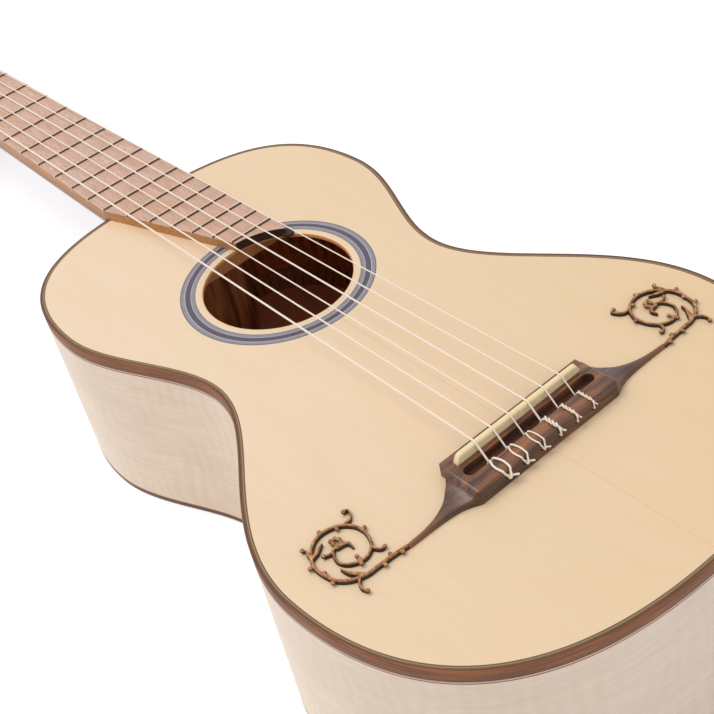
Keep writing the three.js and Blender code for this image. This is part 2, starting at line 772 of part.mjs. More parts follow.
function headHalfOutline() {
  const root = v2(headRootWidth / 2, 0);
  const lower = v2(headLowerLobe.width / 2, headLowerLobe.rise);
  const waist = v2(headWaist.width / 2, headWaist.rise);
  const upper = v2(headUpperLobe.width / 2, headUpperLobe.rise);
  const bend = (from, to, shareOut, shareIn) => new THREE.CubicBezierCurve(
    from,
    v2(from.x, mix(from.y, to.y, shareOut)),
    v2(to.x, mix(from.y, to.y, shareIn)),
    to,
  );
  const path = new THREE.CurvePath();
  path.add(bend(root, lower, headRootShare, headRootShare));
  path.add(bend(lower, waist, 1 / 2, 1 / 2));
  path.add(bend(waist, upper, 1 / 2, 1 / 2));
  path.add(new THREE.CubicBezierCurve(
    upper,
    v2(upper.x, (upper.y + headLength) / 2),
    v2(upper.x / 2, headLength),
    v2(0, headLength),
  ));
  const points = path.getPoints(headSteps);
  return points.filter((point, i) => i === 0 || point.distanceTo(points[i - 1]) > 0);
}

const pegRadiusAt = (z) => pegTipRadius + pegTaper * (pegTipRise - z);

function head() {
  const tongue = v2(headRootWidth / 2, -headThickness);
  const treble = [tongue, ...headHalfOutline()];
  const plate = prismUp(treble.concat(mirrored(treble.slice(0, -1))), -headThickness, 0);
  const holes = stringDiameters.map((_, i) => {
    const { x, y } = pegPlace(i);
    const [front, rear] = [overrun, -headThickness - overrun];
    const hole = new THREE.CylinderGeometry(
      pegRadiusAt(front) + pegClearance,
      pegRadiusAt(rear) + pegClearance,
      front - rear,
      pegSides,
    );
    return hole.rotateX(Math.PI / 2).translate(x, y, (front + rear) / 2);
  });
  const neckSide = box([-headRootWidth, headRootWidth], [-headLength, 0], [-headLength, headLength]);
  return cut(plate, [...holes, neckSide.rotateX(headAngle)]);
}

// A peg is turned on a lathe and its thumb piece is flattened; its frame starts on the head's face
function peg() {
  const collarTop = -headThickness - seatGap;
  const neckTop = collarTop - pegCollarLength;
  const thumbTop = neckTop - pegNeckLength;
  const profile = [
    v2(0, thumbTop - pegNeckRadius),
    v2(pegNeckRadius, thumbTop),
    v2(pegNeckRadius, neckTop),
    v2(pegCollarRadius, collarTop),
    v2(pegBackRadius, collarTop),
    v2(pegBackRadius, -headThickness),
    v2(pegTipRadius, pegTipRise),
    v2(0, pegTipRise),
  ];
  const shaft = new THREE.LatheGeometry(profile, pegSides).rotateX(Math.PI / 2);
  const thumb = new THREE.SphereGeometry(1 / 2, pegThumbSides, pegThumbRings);
  thumb.scale(pegThumb.width, pegThumb.thickness, pegThumb.length);
  thumb.translate(0, 0, thumbTop - (pegThumb.length - pegNeckRadius) / 2);
  const bore = new THREE.CylinderGeometry(pegHoleRadius, pegHoleRadius, pegBackRadius * 4, pegHoleSides);
  return cut(join([shaft, thumb]), [bore.translate(0, 0, pegHoleRise)]);
}

// The scrolls keep their distance from the edge of the top, and the bridge's stems reach out to them
const scrollReach = halfWidthAt(saddleY, scrollFromEdge);
const stemReach = scrollReach - stemFromScroll;
const stemSweep = (stemReach - bridgeHalfLength) * stemSweepShare;

// Bridge, with its middle at x 0, the saddle's line at y 0 and its foot at z 0
function bridgePlan() {
  const outward = (share) => bridgeHalfLength + stemSweep * share;
  const treble = [
    v2(bridgeHalfLength, bridgeFront),
    v2(bridgeHalfLength, 0),
    ...stemFrontShares.map(([out, down]) => v2(outward(out), (stemWidth / 2 - stemDrop) * down)),
    v2(stemReach, stemWidth / 2 - stemDrop),
    v2(stemReach, -stemWidth / 2 - stemDrop),
    ...stemRearShares.map(([out, down]) => v2(outward(out), -stemDrop * down)),
    v2(bridgeHalfLength, -bridgeRear),
  ];
  return treble.concat(mirrored(treble));
}

function channelPlan() {
  const radius = (channelRear - channelFront) / 2;
  const middle = -(channelFront + channelRear) / 2;
  const treble = steps(stringHoleSides).map((share) => {
    const turn = Math.PI * (share - 1 / 2);
    return v2(channelHalfLength - radius + radius * Math.cos(turn), middle + radius * Math.sin(turn));
  });
  return treble.concat(mirrored(treble));
}

function bridge() {
  const treble = [
    v2(stemReach, 0),
    v2(stemReach, stemHeight),
    ...stemTopShares.slice().reverse().map(([out, up]) => v2(
      bridgeHalfLength + stemSweep * out,
      mix(stemHeight, bridgeHeight, up),
    )),
    v2(bridgeHalfLength, bridgeHeight),
  ];
  const side = prismAlong(treble.concat(mirrored(treble)), -bridgeRear, bridgeFront);
  const blank = overlapOf(side, prismUp(bridgePlan(), -overrun, bridgeHeight + overrun));
  const above = bridgeHeight + overrun;
  const slotHalf = saddleThickness / 2 + inlayGap;
  const slotEnd = saddleHalfLength + inlayGap;
  const slot = box([-slotEnd, slotEnd], [-slotHalf, slotHalf], [saddleSeatHeight - inlayGap, above]);
  const channel = prismUp(channelPlan(), channelFloor, above);
  const rearEdge = prismAcross([
    v2(-bridgeRear - overrun, bridgeHeight - tieChamfer - overrun),
    v2(-bridgeRear + tieChamfer + overrun, above),
    v2(-bridgeRear - overrun, above),
  ], -bridgeHalfLength, bridgeHalfLength);
  const holes = stringDiameters.map((_, i) => {
    const hole = new THREE.CylinderGeometry(stringHoleRadius, stringHoleRadius, bridgeRear, stringHoleSides);
    return hole.translate(saddleX(i), -bridgeRear, stringHoleHeight);
  });
  return cut(blank, [slot, channel, rearEdge, ...holes]);
}

// Saddle: a bar with sloping ends and a rounded crown
function saddle() {
  const half = saddleHalfLength;
  const radius = saddleThickness / 2;
  const shoulder = bridgeHeight + saddleEndSlope / 2;
  const treble = [v2(half, saddleSeatHeight), v2(half, shoulder), v2(half - saddleEndSlope, saddleHeight)];
  const bar = prismAlong(treble.concat(mirrored(treble)), -radius, radius);
  const crown = steps(saddleCrownSteps).map((share) => v2(
    radius * Math.cos(Math.PI * share),
    saddleHeight - radius + radius * Math.sin(Math.PI * share),
  ));
  const section = [v2(-radius, saddleSeatHeight), v2(radius, saddleSeatHeight), ...crown];
  return overlapOf(bar, prismAcross(section, -half - overrun, half + overrun));
}

const inScroll = ([out, up]) => v3(scrollReach + out * scrollRadius, scrollRise + up * scrollRadius, 0);
const scrollCurve = (shares) => new THREE.CatmullRomCurve3(shares.map(inScroll), false, 'centripetal');
const leftOf = (direction) => v3(-direction.y, direction.x, 0).normalize();

// A vine has a flat foot on the soundboard and a ridged back, and tapers towards its tip
function vine(shares, width, tipShare) {
  const curve = scrollCurve(shares);
  const count = Math.max(3, Math.round(curve.getLength() / vineStep));
  return loft(steps(count).map((share) => {
    const thin = mix(1, tipShare, share);
    const middle = curve.getPointAt(share);
    const across = leftOf(curve.getTangentAt(share));
    return vineSectionShares.map(([side, up]) => middle
      .clone()
      .addScaledVector(across, side * width * thin)
      .setZ((up * vineHeight * (1 + thin)) / 2));
  }));
}

const knob = (place, radius) => new THREE.IcosahedronGeometry(radius, 0)
  .translate(place.x, place.y, vineHeight - radius);

function mirrorImage(geometry) {
  const image = geometry.clone().scale(-1, 1, 1);
  image.setIndex(Array.from(image.index.array).reverse());
  image.computeVertexNormals();
  return image;
}

function scroll(side) {
  const main = scrollCurve(vineShares);
  const buds = budShares.map(([share, beside]) => {
    const distance = (vineWidth * mix(1, vineTipShare, share)) / 2 + budLap;
    const across = leftOf(main.getTangentAt(share));
    return knob(main.getPointAt(share).addScaledVector(across, beside * distance), budRadius);
  });
  const petals = Array.from({ length: petalCount }, (_, i) => {
    const turn = (2 * Math.PI * i) / petalCount;
    const out = v3(Math.cos(turn), Math.sin(turn), 0).multiplyScalar(petalRingRadius);
    return knob(inScroll(vineShares.at(-1)).add(out), budRadius);
  });
  const pieces = [
    vine(vineShares, vineWidth, vineTipShare),
    ...tendrilShares.map((shares) => vine(shares, tendrilWidth, vineTipShare)),
    ...tendrilShares.map((shares) => knob(inScroll(shares.at(-1)), ballRadius)),
    ...leafShares.map((shares) => vine(shares, leafWidth, leafTipShare)),
    ...buds,
    ...petals,
  ];
  const reach = scrollRadius * 3;
  const beyondStem = box([stemReach + inlayGap, scrollReach + reach], [-reach, reach], [0, vineHeight * 2]);
  const carved = geometryOf(solidOf(overlapOf(join(pieces), beyondStem)).simplify(carvingTolerance));
  return side > 0 ? carved : mirrorImage(carved);
}

// A string's route, passed point by point: a straight run takes one step and a bend takes many
class Route extends THREE.Curve {
  constructor(points) {
    super();
    this.points = points;
  }

  getPoint(share, target = v3(0, 0, 0)) {
    const place = share * (this.points.length - 1);
    const before = Math.min(Math.floor(place), this.points.length - 2);
    return target.lerpVectors(this.points[before], this.points[before + 1], place - before);
  }

  getPointAt(share, target) {
    return this.getPoint(share, target);
  }

  getTangentAt(share, target = v3(0, 0, 0)) {
    const place = Math.round(share * (this.points.length - 1));
    const before = this.points[Math.max(place - 1, 0)];
    const after = this.points[Math.min(place + 1, this.points.length - 1)];
    return target.subVectors(after, before).normalize();
  }
}

function smooth(points, stepLength) {
  const curve = new THREE.CatmullRomCurve3(points, false, 'centripetal');
  return curve.getSpacedPoints(Math.round(curve.getLength() / stepLength));
}

// Places near the bridge, for the string whose number is given
const atBridge = (i, across, drop, height) => v3(saddleX(i) + across, saddleY - drop, bodyDepth + height);

// The bend over the saddle keeps one gap above its crown
function saddleBend(i, radius) {
  const bend = saddleThickness / 2 + seatGap + radius;
  const centre = saddleHeight - saddleThickness / 2;
  return steps(saddleWrapSteps).map((share) => {
    const turn = saddleWrap * share;
    return atBridge(i, 0, bend * Math.sin(turn), centre + bend * Math.cos(turn));
  });
}

// One point of a tie, from the face it lies on
function tieSpot(i, radius, [face, across, along, lift]) {
  const strand = 2 * radius + strandGap;
  const off = seatGap + radius + lift * strand;
  const side = across * strand;
  const heightUp = mix(stringHoleHeight, bridgeHeight, along);
  const faces = {
    rear: () => atBridge(i, side, bridgeRear + off, heightUp),
    top: () => atBridge(i, side, mix(channelRear, bridgeRear, along), bridgeHeight + off),
    front: () => atBridge(i, side, channelRear - off, heightUp),
    channel: () => atBridge(i, side, mix(channelFront, channelRear, along), channelFloor + off),
  };
  return faces[face]();
}

// Through the tie block, up over it, under the string itself and back over the block. The treble
// strings are twisted round their own first strand there.
function tieRoute(i, radius) {
  const strand = 2 * radius + strandGap;
  const through = [
    atBridge(i, 0, channelRear - 2 * radius, stringHoleHeight + radius),
    atBridge(i, 0, channelRear + radius, stringHoleHeight),
    atBridge(i, 0, bridgeRear, stringHoleHeight),
  ];
  const spots = (rows) => rows.map((row) => tieSpot(i, radius, row));
  if (i >= twistedTies) {
    return smooth([...through, ...spots(simpleTieShares)], tieStepShare * strand);
  }
  const coil = strand * twistRadiusShare;
  const axisHeight = bridgeHeight + seatGap + radius + coil;
  const count = Math.round(twistTurns * twistSteps);
  const twist = steps(count).map((share) => {
    const turn = Math.PI - 2 * Math.PI * twistTurns * share;
    const drop = mix(channelRear + radius, bridgeRear - twistEndShare * strand, share);
    return atBridge(i, coil * Math.cos(turn), drop, axisHeight + coil * Math.sin(turn));
  });
  const first = smooth([...through, ...spots(twistedTieShares)], tieStepShare * strand);
  return [...first, ...twist, ...spots(twistedTailShares)];
}

// Round the peg away from the head's face, and then bent to the mouth of the peg's hole
function windingRoute(i, radius) {
  const { x, y, side } = pegPlace(i);
  const reach = (z) => pegRadiusAt(z) + seatGap + radius;
  const pitch = 2 * radius + windingGap;
  const count = Math.round(windingTurns * windingSteps);
  const turns = steps(count).slice(0, -1).map((share) => {
    const turn = 2 * Math.PI * windingTurns * share;
    const height = windingRise + pitch * windingTurns * share;
    return inHead(x - side * reach(height) * Math.cos(turn), y + reach(height) * Math.sin(turn), height);
  });
  const mouth = reach(pegHoleRise);
  const bend = 2 * radius + strandGap;
  const last = windingRise + pitch * windingTurns;
  const end = windingEndShares.map(([out, down, up]) => inHead(
    x + side * bend * out,
    y - mouth - bend * down,
    mix(last, pegHoleRise, up),
  ));
  return [...turns, ...end, inHead(x, y - mouth + radius, pegHoleRise)];
}

function stringRoute(i) {
  const radius = stringDiameters[i] / 2;
  const atNut = [
    v3(nutX(i), nutY + nutLength / 2, nutStringZ),
    v3(mix(nutX(i), saddleX(i), nutLength / scaleLength), nutY - nutLength, nutStringZ),
  ];
  return [...windingRoute(i, radius).reverse(), ...atNut, ...saddleBend(i, radius), ...tieRoute(i, radius)];
}

function string(i) {
  const radius = stringDiameters[i] / 2;
  const points = stringRoute(i);
  const section = steps(stringSides).slice(0, -1).map((share) => {
    const turn = 2 * Math.PI * share;
    return v2(radius * Math.cos(turn), radius * Math.sin(turn));
  });
  return new THREE.ExtrudeGeometry(new THREE.Shape(section), {
    steps: points.length - 1,
    extrudePath: new Route(points),
    bevelEnabled: false,
  });
}

// The least gap between stretches of one string that are over one full bend apart
function leastSelfGap(i) {
  const diameter = stringDiameters[i];
  const points = stringRoute(i);
  const fine = points.slice(1).flatMap((point, k) => {
    const count = Math.ceil(Math.min(points[k].distanceTo(point), bodyDepth) / (diameter / 2));
    return steps(count).slice(0, -1).map((share) => points[k].clone().lerp(point, share));
  });
  const lengths = [0];
  fine.slice(1).forEach((point, k) => lengths.push(lengths[k] + point.distanceTo(fine[k])));
  const apart = Math.PI * (diameter + strandGap);
  let least = scaleLength;
  fine.forEach((point, a) => {
    for (let b = a + 1; b < fine.length; b += 1) {
      const gap = lengths[b] - lengths[a] > apart ? point.distanceTo(fine[b]) - diameter : least;
      least = Math.min(least, gap);
    }
  });
  return least;
}

// Materials
function material(color, roughness, metalness = 0) {
  return new THREE.MeshStandardMaterial({ color, roughness, metalness });
}

const spruce = material(0xe9cfa6, 0.45);
const maple = material(0xe0c7a4, 0.4);
const rosewood = material(0x5a2a1a, 0.35);
const innerWood = material(0xc9a878, 0.7);
const neckWood = material(0x8a5a34, 0.45);
const boardWood = material(0xcfa98c, 0.5);
const inlayGrey = material(0x6d6878, 0.5);
const purflingDark = material(0x2c211b, 0.5);
const pegWood = material(0x2b1c16, 0.35);
const carvedWood = material(0x9a6238, 0.5);
const bone = material(0xe6dfb0, 0.4);
const fretMetal = material(0xb9b4a8, 0.25, 0.9);
const gut = material(0xf1e2d8, 0.45);

// Assembly
const guitar = new THREE.Group();
const sides = { treble: 1, bass: -1 };

function add(name, geometry, look, parent = guitar) {
  const mesh = new THREE.Mesh(geometry, look);
  mesh.name = name;
  parent.add(mesh);
  return mesh;
}

function addFrame(origin, tilt) {
  const frame = new THREE.Group();
  frame.position.copy(origin);
  frame.rotation.x = tilt;
  guitar.add(frame);
  return frame;
}

function addBody() {
  add('soundboard', soundboard(), spruce);
  add('back', back(), maple);
  add('rosette', rosette(), inlayGrey);
  add('top_binding', topBinding(), rosewood);
  add('back_binding', backBinding(), rosewood);
  add('top_purfling', topPurfling(), purflingDark);
  Object.entries(sides).forEach(([name, side]) => {
    add(`rib_${name}`, rib(side), maple);
    add(`top_lining_${name}`, lining(side, plateTop, -1), innerWood);
    add(`back_lining_${name}`, lining(side, backThickness, 1), innerWood);
  });
  add('neck_block', neckBlock(), innerWood);
  add('tail_block', tailBlock(), innerWood);
  Object.entries(topBracePlaces).forEach(([name, y]) => {
    add(`top_brace_${name}`, brace(y, topBrace, plateTop, -1), innerWood);
  });
  Object.entries(backBraceShares).forEach(([name, share]) => {
    add(`back_brace_${name}`, brace(mix(jointY, tailY, share), backBrace, backThickness, 1), innerWood);
  });
}

function addNeck() {
  add('neck', neck(), neckWood);
  add('heel_cap', heelCap(), rosewood);
  add('nut', nut(), bone);
  const boardFrame = addFrame(v3(0, jointY, bodyDepth), boardTilt);
  add('fingerboard', fingerboard(), boardWood, boardFrame);
  for (let n = 1; n <= fretCount; n += 1) {
    add(`fret_${n}`, fret(n), fretMetal, boardFrame);
  }
}

function addHead() {
  const headFrame = addFrame(headOrigin, -headAngle);
  add('head', head(), neckWood, headFrame);
  stringDiameters.forEach((_, i) => {
    const { x, y } = pegPlace(i);
    add(`peg_${i + 1}`, peg(), pegWood, headFrame).position.set(x, y, 0);
  });
}

function addBridge() {
  const bridgeFrame = addFrame(v3(0, saddleY, bodyDepth), 0);
  add('bridge', bridge(), rosewood, bridgeFrame);
  add('saddle', saddle(), bone, bridgeFrame);
  Object.entries(sides).forEach(([name, side]) => {
    add(`scroll_${name}`, scroll(side), carvedWood, bridgeFrame);
  });
}

function addStrings() {
  stringDiameters.forEach((_, i) => {
    add(`string_${i + 1}`, string(i), gut);
    console.log(`string_${i + 1} least gap to itself ${leastSelfGap(i).toFixed(2)} mm`);
  });
}

addBody();
addNeck();
addHead();
addBridge();
addStrings();

export default guitar;
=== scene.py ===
from math import atan, cos, pi, radians, sin, sqrt, tan

import bmesh
import bpy
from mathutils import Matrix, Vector


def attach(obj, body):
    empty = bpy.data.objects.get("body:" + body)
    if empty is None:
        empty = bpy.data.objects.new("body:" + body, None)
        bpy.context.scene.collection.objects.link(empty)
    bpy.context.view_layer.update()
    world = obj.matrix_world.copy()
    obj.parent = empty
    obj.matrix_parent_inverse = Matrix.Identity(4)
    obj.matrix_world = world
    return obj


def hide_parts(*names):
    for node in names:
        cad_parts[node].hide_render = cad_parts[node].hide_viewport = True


# Romantic guitar on its back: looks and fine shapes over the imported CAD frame.
# Shapes are drawn in millimetres in the CAD frame; link() turns them into metres.

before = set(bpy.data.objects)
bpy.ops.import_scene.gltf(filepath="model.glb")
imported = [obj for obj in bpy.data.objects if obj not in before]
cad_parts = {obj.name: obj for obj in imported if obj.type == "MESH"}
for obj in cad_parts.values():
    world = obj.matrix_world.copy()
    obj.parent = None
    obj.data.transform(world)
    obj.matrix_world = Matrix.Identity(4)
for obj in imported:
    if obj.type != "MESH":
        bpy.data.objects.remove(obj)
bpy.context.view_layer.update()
scene = bpy.context.scene
mm = 0.001
sides = {"treble": 1, "bass": -1}

# Camera at the photograph's viewing angle
cameraLook = {"place": (-0.28656, -0.52178, 0.53766), "turn": (49.5014, 10.1895, -40.5300), "lens": 66.528}
cameraData = bpy.data.cameras.new("camera")
cameraData.lens = cameraLook["lens"]
cameraData.sensor_width = 36
camera = bpy.data.objects.new("camera", cameraData)
camera.location = cameraLook["place"]
camera.rotation_euler = [radians(a) for a in cameraLook["turn"]]
scene.collection.objects.link(camera)
scene.camera = camera
print("camera set")


def lerp(a, b, share):
    return a + (b - a) * share


def shares(count):
    return [i / count for i in range(count + 1)]


def colour(text):
    channels = [int(text[i:i + 2], 16) / 255 for i in (0, 2, 4)]
    linear = [c / 12.92 if c <= 0.04045 else ((c + 0.055) / 1.055) ** 2.4 for c in channels]
    return (*linear, 1)


# Adds a shader node with its settings; an input value that is a socket becomes a link
def put(tree, kind, inputs=None, stops=None, **settings):
    node = tree.nodes.new("ShaderNode" + kind)
    for key, value in settings.items():
        setattr(node, key, value)
    for key, value in (inputs or {}).items():
        if isinstance(value, bpy.types.NodeSocket):
            tree.links.new(value, node.inputs[key])
        else:
            node.inputs[key].default_value = value
    if stops:
        line = node.color_ramp
        while len(line.elements) < len(stops):
            line.elements.new(1)
        for element, (place, tone) in zip(line.elements, stops):
            element.position = place
            element.color = colour(tone) if isinstance(tone, str) else (tone, tone, tone, 1)
    return node


def newMaterial(name):
    material = bpy.data.materials.new(name)
    material.use_nodes = True
    material.node_tree.nodes.clear()
    return material, material.node_tree


# Noise scale for marks of a size in millimetres
def marksOf(size):
    return 1 / (size * mm)


# Wave scale for bands a spacing apart in millimetres: at scale 1 they lie pi / 10 apart
def bandsOf(spacing):
    return pi / 10 / (spacing * mm)


# Late wood lines of a quarter-sawn board, stronger and weaker in patches
def lateWood(tree, bent, long, look):
    wave = put(tree, "TexWave", {"Vector": bent, "Scale": bandsOf(look["spacing"]), "Detail": 3,
                                 "Detail Scale": 0.6, "Distortion": look["wild"]},
               bands_direction="X", wave_profile="SAW").outputs["Fac"]
    line = put(tree, "ValToRGB", {"Fac": wave}, stops=[(0, 0), (0.5, 0.05), (0.9, 1), (1, 0.2)])
    patch = put(tree, "TexNoise", {"Vector": long, "Scale": marksOf(look["patch"]), "Detail": 1})
    shown = put(tree, "MapRange", {0: patch.outputs["Fac"], 1: 0.3, 2: 0.7, 3: 0.15 * look["amount"],
                                   4: look["amount"]})
    return put(tree, "Math", {0: line.outputs["Color"], 1: shown.outputs[0]}, operation="MULTIPLY").outputs[0]


# Slow colour drift over the board
def slowDrift(tree, bent, look):
    drawn = put(tree, "Mapping", {"Vector": bent, "Scale": (1, look["long"], 1),
                                  "Location": (look["size"], 0, 0)}).outputs[0]
    slow = put(tree, "TexNoise", {"Vector": drawn, "Scale": marksOf(look["size"]), "Detail": 2})
    return put(tree, "ValToRGB", {"Fac": slow.outputs["Fac"]},
               stops=[(0.38, 0), (0.66, look["amount"])]).outputs["Color"]


# Curly figure: bands across the grain that come and go
def curlyBands(tree, laid, look):
    wave = put(tree, "TexWave", {"Vector": laid, "Scale": bandsOf(look["spacing"]), "Detail": 2,
                                 "Detail Scale": look["detail"], "Distortion": look["wild"]},
               bands_direction="Y").outputs["Fac"]
    band = put(tree, "ValToRGB", {"Fac": wave}, stops=[(0.2, 0), (0.85, 1)])
    patch = put(tree, "TexNoise", {"Vector": laid, "Scale": marksOf(look["patch"]), "Detail": 1})
    shown = put(tree, "MapRange", {0: patch.outputs["Fac"], 1: 0.35, 2: 0.65, 3: 0.1 * look["amount"],
                                   4: look["amount"]})
    return put(tree, "Math", {0: band.outputs["Color"], 1: shown.outputs[0]}, operation="MULTIPLY").outputs[0]


# Open vessels: short dark dashes along the grain
def openPores(tree, bent, look):
    fine = put(tree, "Mapping", {"Vector": bent, "Scale": (1, look["stretch"], 1)}).outputs[0]
    speck = put(tree, "TexNoise", {"Vector": fine, "Scale": marksOf(look["size"]), "Detail": 2,
                                   "Roughness": 0.55})
    return put(tree, "ValToRGB", {"Fac": speck.outputs["Fac"]},
               stops=[(look["from"], 0), (look["from"] + 0.08, look["amount"])]).outputs["Color"]


# 1 where a length lies between two millimetre marks
def between(tree, length, low, high):
    above = put(tree, "Math", {0: length, 1: low * mm}, operation="GREATER_THAN").outputs[0]
    below = put(tree, "Math", {0: length, 1: high * mm}, operation="LESS_THAN").outputs[0]
    return put(tree, "Math", {0: above, 1: below}, operation="MULTIPLY").outputs[0]


# Sharp lines (axis, from mm, to mm, tone), and tones that come in along an axis (the same, then how much)
def linesAndFades(tree, source, look):
    split = put(tree, "SeparateXYZ", {"Vector": source}).outputs
    layers = []
    for axis, low, high, shade in look.get("lines", []):
        layers.append((between(tree, split[axis], low, high), shade))
    for axis, start, end, shade, amount in look.get("fades", []):
        share = put(tree, "MapRange", {0: split[axis], 1: start * mm, 2: end * mm, 4: amount})
        layers.append((share.outputs[0], shade))
    return layers


# Lays tones over a ground, the lowest first: each is (how much of it shows, its tone)
def layered(tree, tone, layers):
    for shown, shade in layers:
        tone = put(tree, "Mix", {0: shown, 6: tone, 7: colour(shade)}, data_type="RGBA").outputs[2]
    return tone


# Figured wood: grain runs along local Y, "turn" lays it along the piece, "place" reads the piece's own run
def woodMaterial(name, look):
    material, tree = newMaterial(name)
    if look.get("place"):
        source = put(tree, "Attribute", attribute_name="place").outputs["Vector"]
    else:
        source = put(tree, "TexCoord").outputs["Object"]
    laid = put(tree, "Mapping", {"Vector": source, "Rotation": look.get("turn", (0, 0, 0))}).outputs[0]
    wander = put(tree, "TexNoise", {"Vector": laid, "Scale": marksOf(look["wanderLength"]), "Detail": 2})
    shift = put(tree, "VectorMath", {0: wander.outputs["Color"], 1: (look["wander"] * mm,) * 3},
                operation="MULTIPLY").outputs[0]
    bent = put(tree, "VectorMath", {0: laid, 1: shift}).outputs[0]
    long = put(tree, "Mapping", {"Vector": bent, "Scale": (1, look["stretch"], 1)}).outputs[0]
    streak = put(tree, "TexNoise", {"Vector": long, "Scale": marksOf(look["grain"]), "Detail": 4,
                                    "Roughness": 0.6}).outputs["Fac"]
    ground = put(tree, "ValToRGB", {"Fac": streak}, stops=look["tones"]).outputs["Color"]
    height, layers = streak, []
    if "rings" in look:
        layers.append((lateWood(tree, bent, long, look["rings"]), look["rings"]["tone"]))
    for drift in look.get("broad", []):
        layers.append((slowDrift(tree, bent, drift), drift["tone"]))
    if "flame" in look:
        layers.append((curlyBands(tree, laid, look["flame"]), look["flame"]["tone"]))
    if "pores" in look:
        opened = openPores(tree, bent, look["pores"])
        layers.append((opened, look["pores"]["tone"]))
        height = put(tree, "Math", {0: streak, 1: opened}, operation="SUBTRACT").outputs[0]
    if "lines" in look or "fades" in look:
        layers += linesAndFades(tree, source, look)
    sheen = put(tree, "MapRange", {0: streak, 1: 0.3, 2: 0.7, 3: look["roughness"] + 0.05,
                                   4: look["roughness"] - 0.05}).outputs[0]
    bump = put(tree, "Bump", {"Strength": look["bump"], "Distance": look["relief"] * mm, "Height": height})
    shader = put(tree, "BsdfPrincipled", {"Base Color": layered(tree, ground, layers), "Roughness": sheen,
                                          "IOR": 1.5, "Normal": bump.outputs[0],
                                          "Coat Weight": look.get("coat", 0),
                                          "Coat Roughness": look.get("coatRoughness", 0.25)})
    put(tree, "OutputMaterial", {"Surface": shader.outputs[0]})
    return material


quarter = pi / 2
alongStrip = {"place": True, "turn": (0, 0, quarter)}  # grain that follows a bent strip
# Bookmatched quarter-sawn spruce under thin shellac: even cream, hair-fine lines, the seam just showing
spruce = woodMaterial("french_polished_spruce", {
    "grain": 1.4, "stretch": 0.02, "wander": 1.6, "wanderLength": 120,
    "tones": [(0.3, "f1d8b5"), (0.7, "f4ddbd")],
    "rings": {"spacing": 1.2, "wild": 1.1, "patch": 9, "amount": 0.14, "tone": "e6c496"},
    "broad": [{"size": 40, "long": 0.4, "amount": 0.3, "tone": "f3d6b8"},
              {"size": 9, "long": 0.2, "amount": 0.22, "tone": "eccfa4"}],
    # The top darkens and warms towards the treble side and the tail: painted shade
    "fades": [("X", -60, 150, "eccb94", 0.5), ("Y", -60, -320, "eeca92", 0.4)],
    "lines": [("X", -0.14, 0.14, "dcb987")],
    "roughness": 0.42, "bump": 0.12, "relief": 0.015, "coat": 0.12,
})
# Maple sides, very pale, satin shellac, the flame only just showing; fine lines under the top binding
maple = woodMaterial("flamed_maple", {
    **alongStrip, "grain": 1, "stretch": 0.05, "wander": 2, "wanderLength": 40,
    "tones": [(0.3, "ead2b6"), (0.7, "f2e0c9")],
    "flame": {"spacing": 8, "wild": 9, "detail": 0.6, "patch": 35, "amount": 0.24, "tone": "d9bd9c"},
    "broad": [{"size": 30, "long": 0.5, "amount": 0.35, "tone": "e0cab2"},
              {"size": 2.2, "long": 0.08, "amount": 0.2, "tone": "cfb79c"}],
    "lines": [("Z", 104.4, 105, "3a1e0e"), ("Z", 103.5, 104.4, "d6ad8a"), ("Z", 102.9, 103.5, "6a3a20"),
              ("Z", 3.6, 4.3, "a8805e")],
    "roughness": 0.38, "bump": 0.12, "relief": 0.02, "coat": 0.12,
})
# The ribs' inner faces: bare, browned, the flame dark and upright
bareMaple = woodMaterial("bare_maple_inside", {
    **alongStrip, "grain": 1, "stretch": 0.05, "wander": 2, "wanderLength": 40,
    "tones": [(0.3, "c46a34"), (0.7, "e48a4c")],
    "flame": {"spacing": 7, "wild": 6, "detail": 0.5, "patch": 30, "amount": 0.7, "tone": "7a3a1c"},
    "roughness": 0.62, "bump": 0.25, "relief": 0.04,
})
# The back's two maple halves, flame running out from the middle seam; bare and warm inside
backMaple = woodMaterial("flamed_maple_back", {
    "grain": 0.9, "stretch": 0.03, "wander": 1.5, "wanderLength": 90,
    "tones": [(0.3, "e0c8a8"), (0.7, "ecd9bf")],
    "flame": {"spacing": 9, "wild": 5, "detail": 0.35, "patch": 45, "amount": 0.45, "tone": "c9a57a"},
    "lines": [("Z", 2.4, 4, "f0a070")],
    "roughness": 0.36, "bump": 0.12, "relief": 0.02, "coat": 0.15,
})
# Rosewood strips: orange brown with darker streaks and open pores, low gloss
rosewoodStrip = woodMaterial("rosewood_strip", {
    **alongStrip, "grain": 0.8, "stretch": 0.03, "wander": 1, "wanderLength": 40,
    "tones": [(0.3, "50280c"), (0.5, "864a1a"), (0.72, "b07030")],
    "broad": [{"size": 18, "long": 0.2, "amount": 0.45, "tone": "86501f"},
              {"size": 6, "long": 0.12, "amount": 0.5, "tone": "54300f"}],
    # The top binding darkens towards its foot: painted shade. The back binding is darker all over
    "fades": [("Z", 107.5, 105.1, "4c2606", 0.25), ("Z", 60, 30, "3c1e08", 0.6)],
    "pores": {"size": 0.3, "stretch": 0.08, "from": 0.6, "amount": 0.5, "tone": "3a1b10"},
    "lines": [("Y", 0.85, 1.3, "46291a")],
    "roughness": 0.5, "bump": 0.3, "relief": 0.04,
})
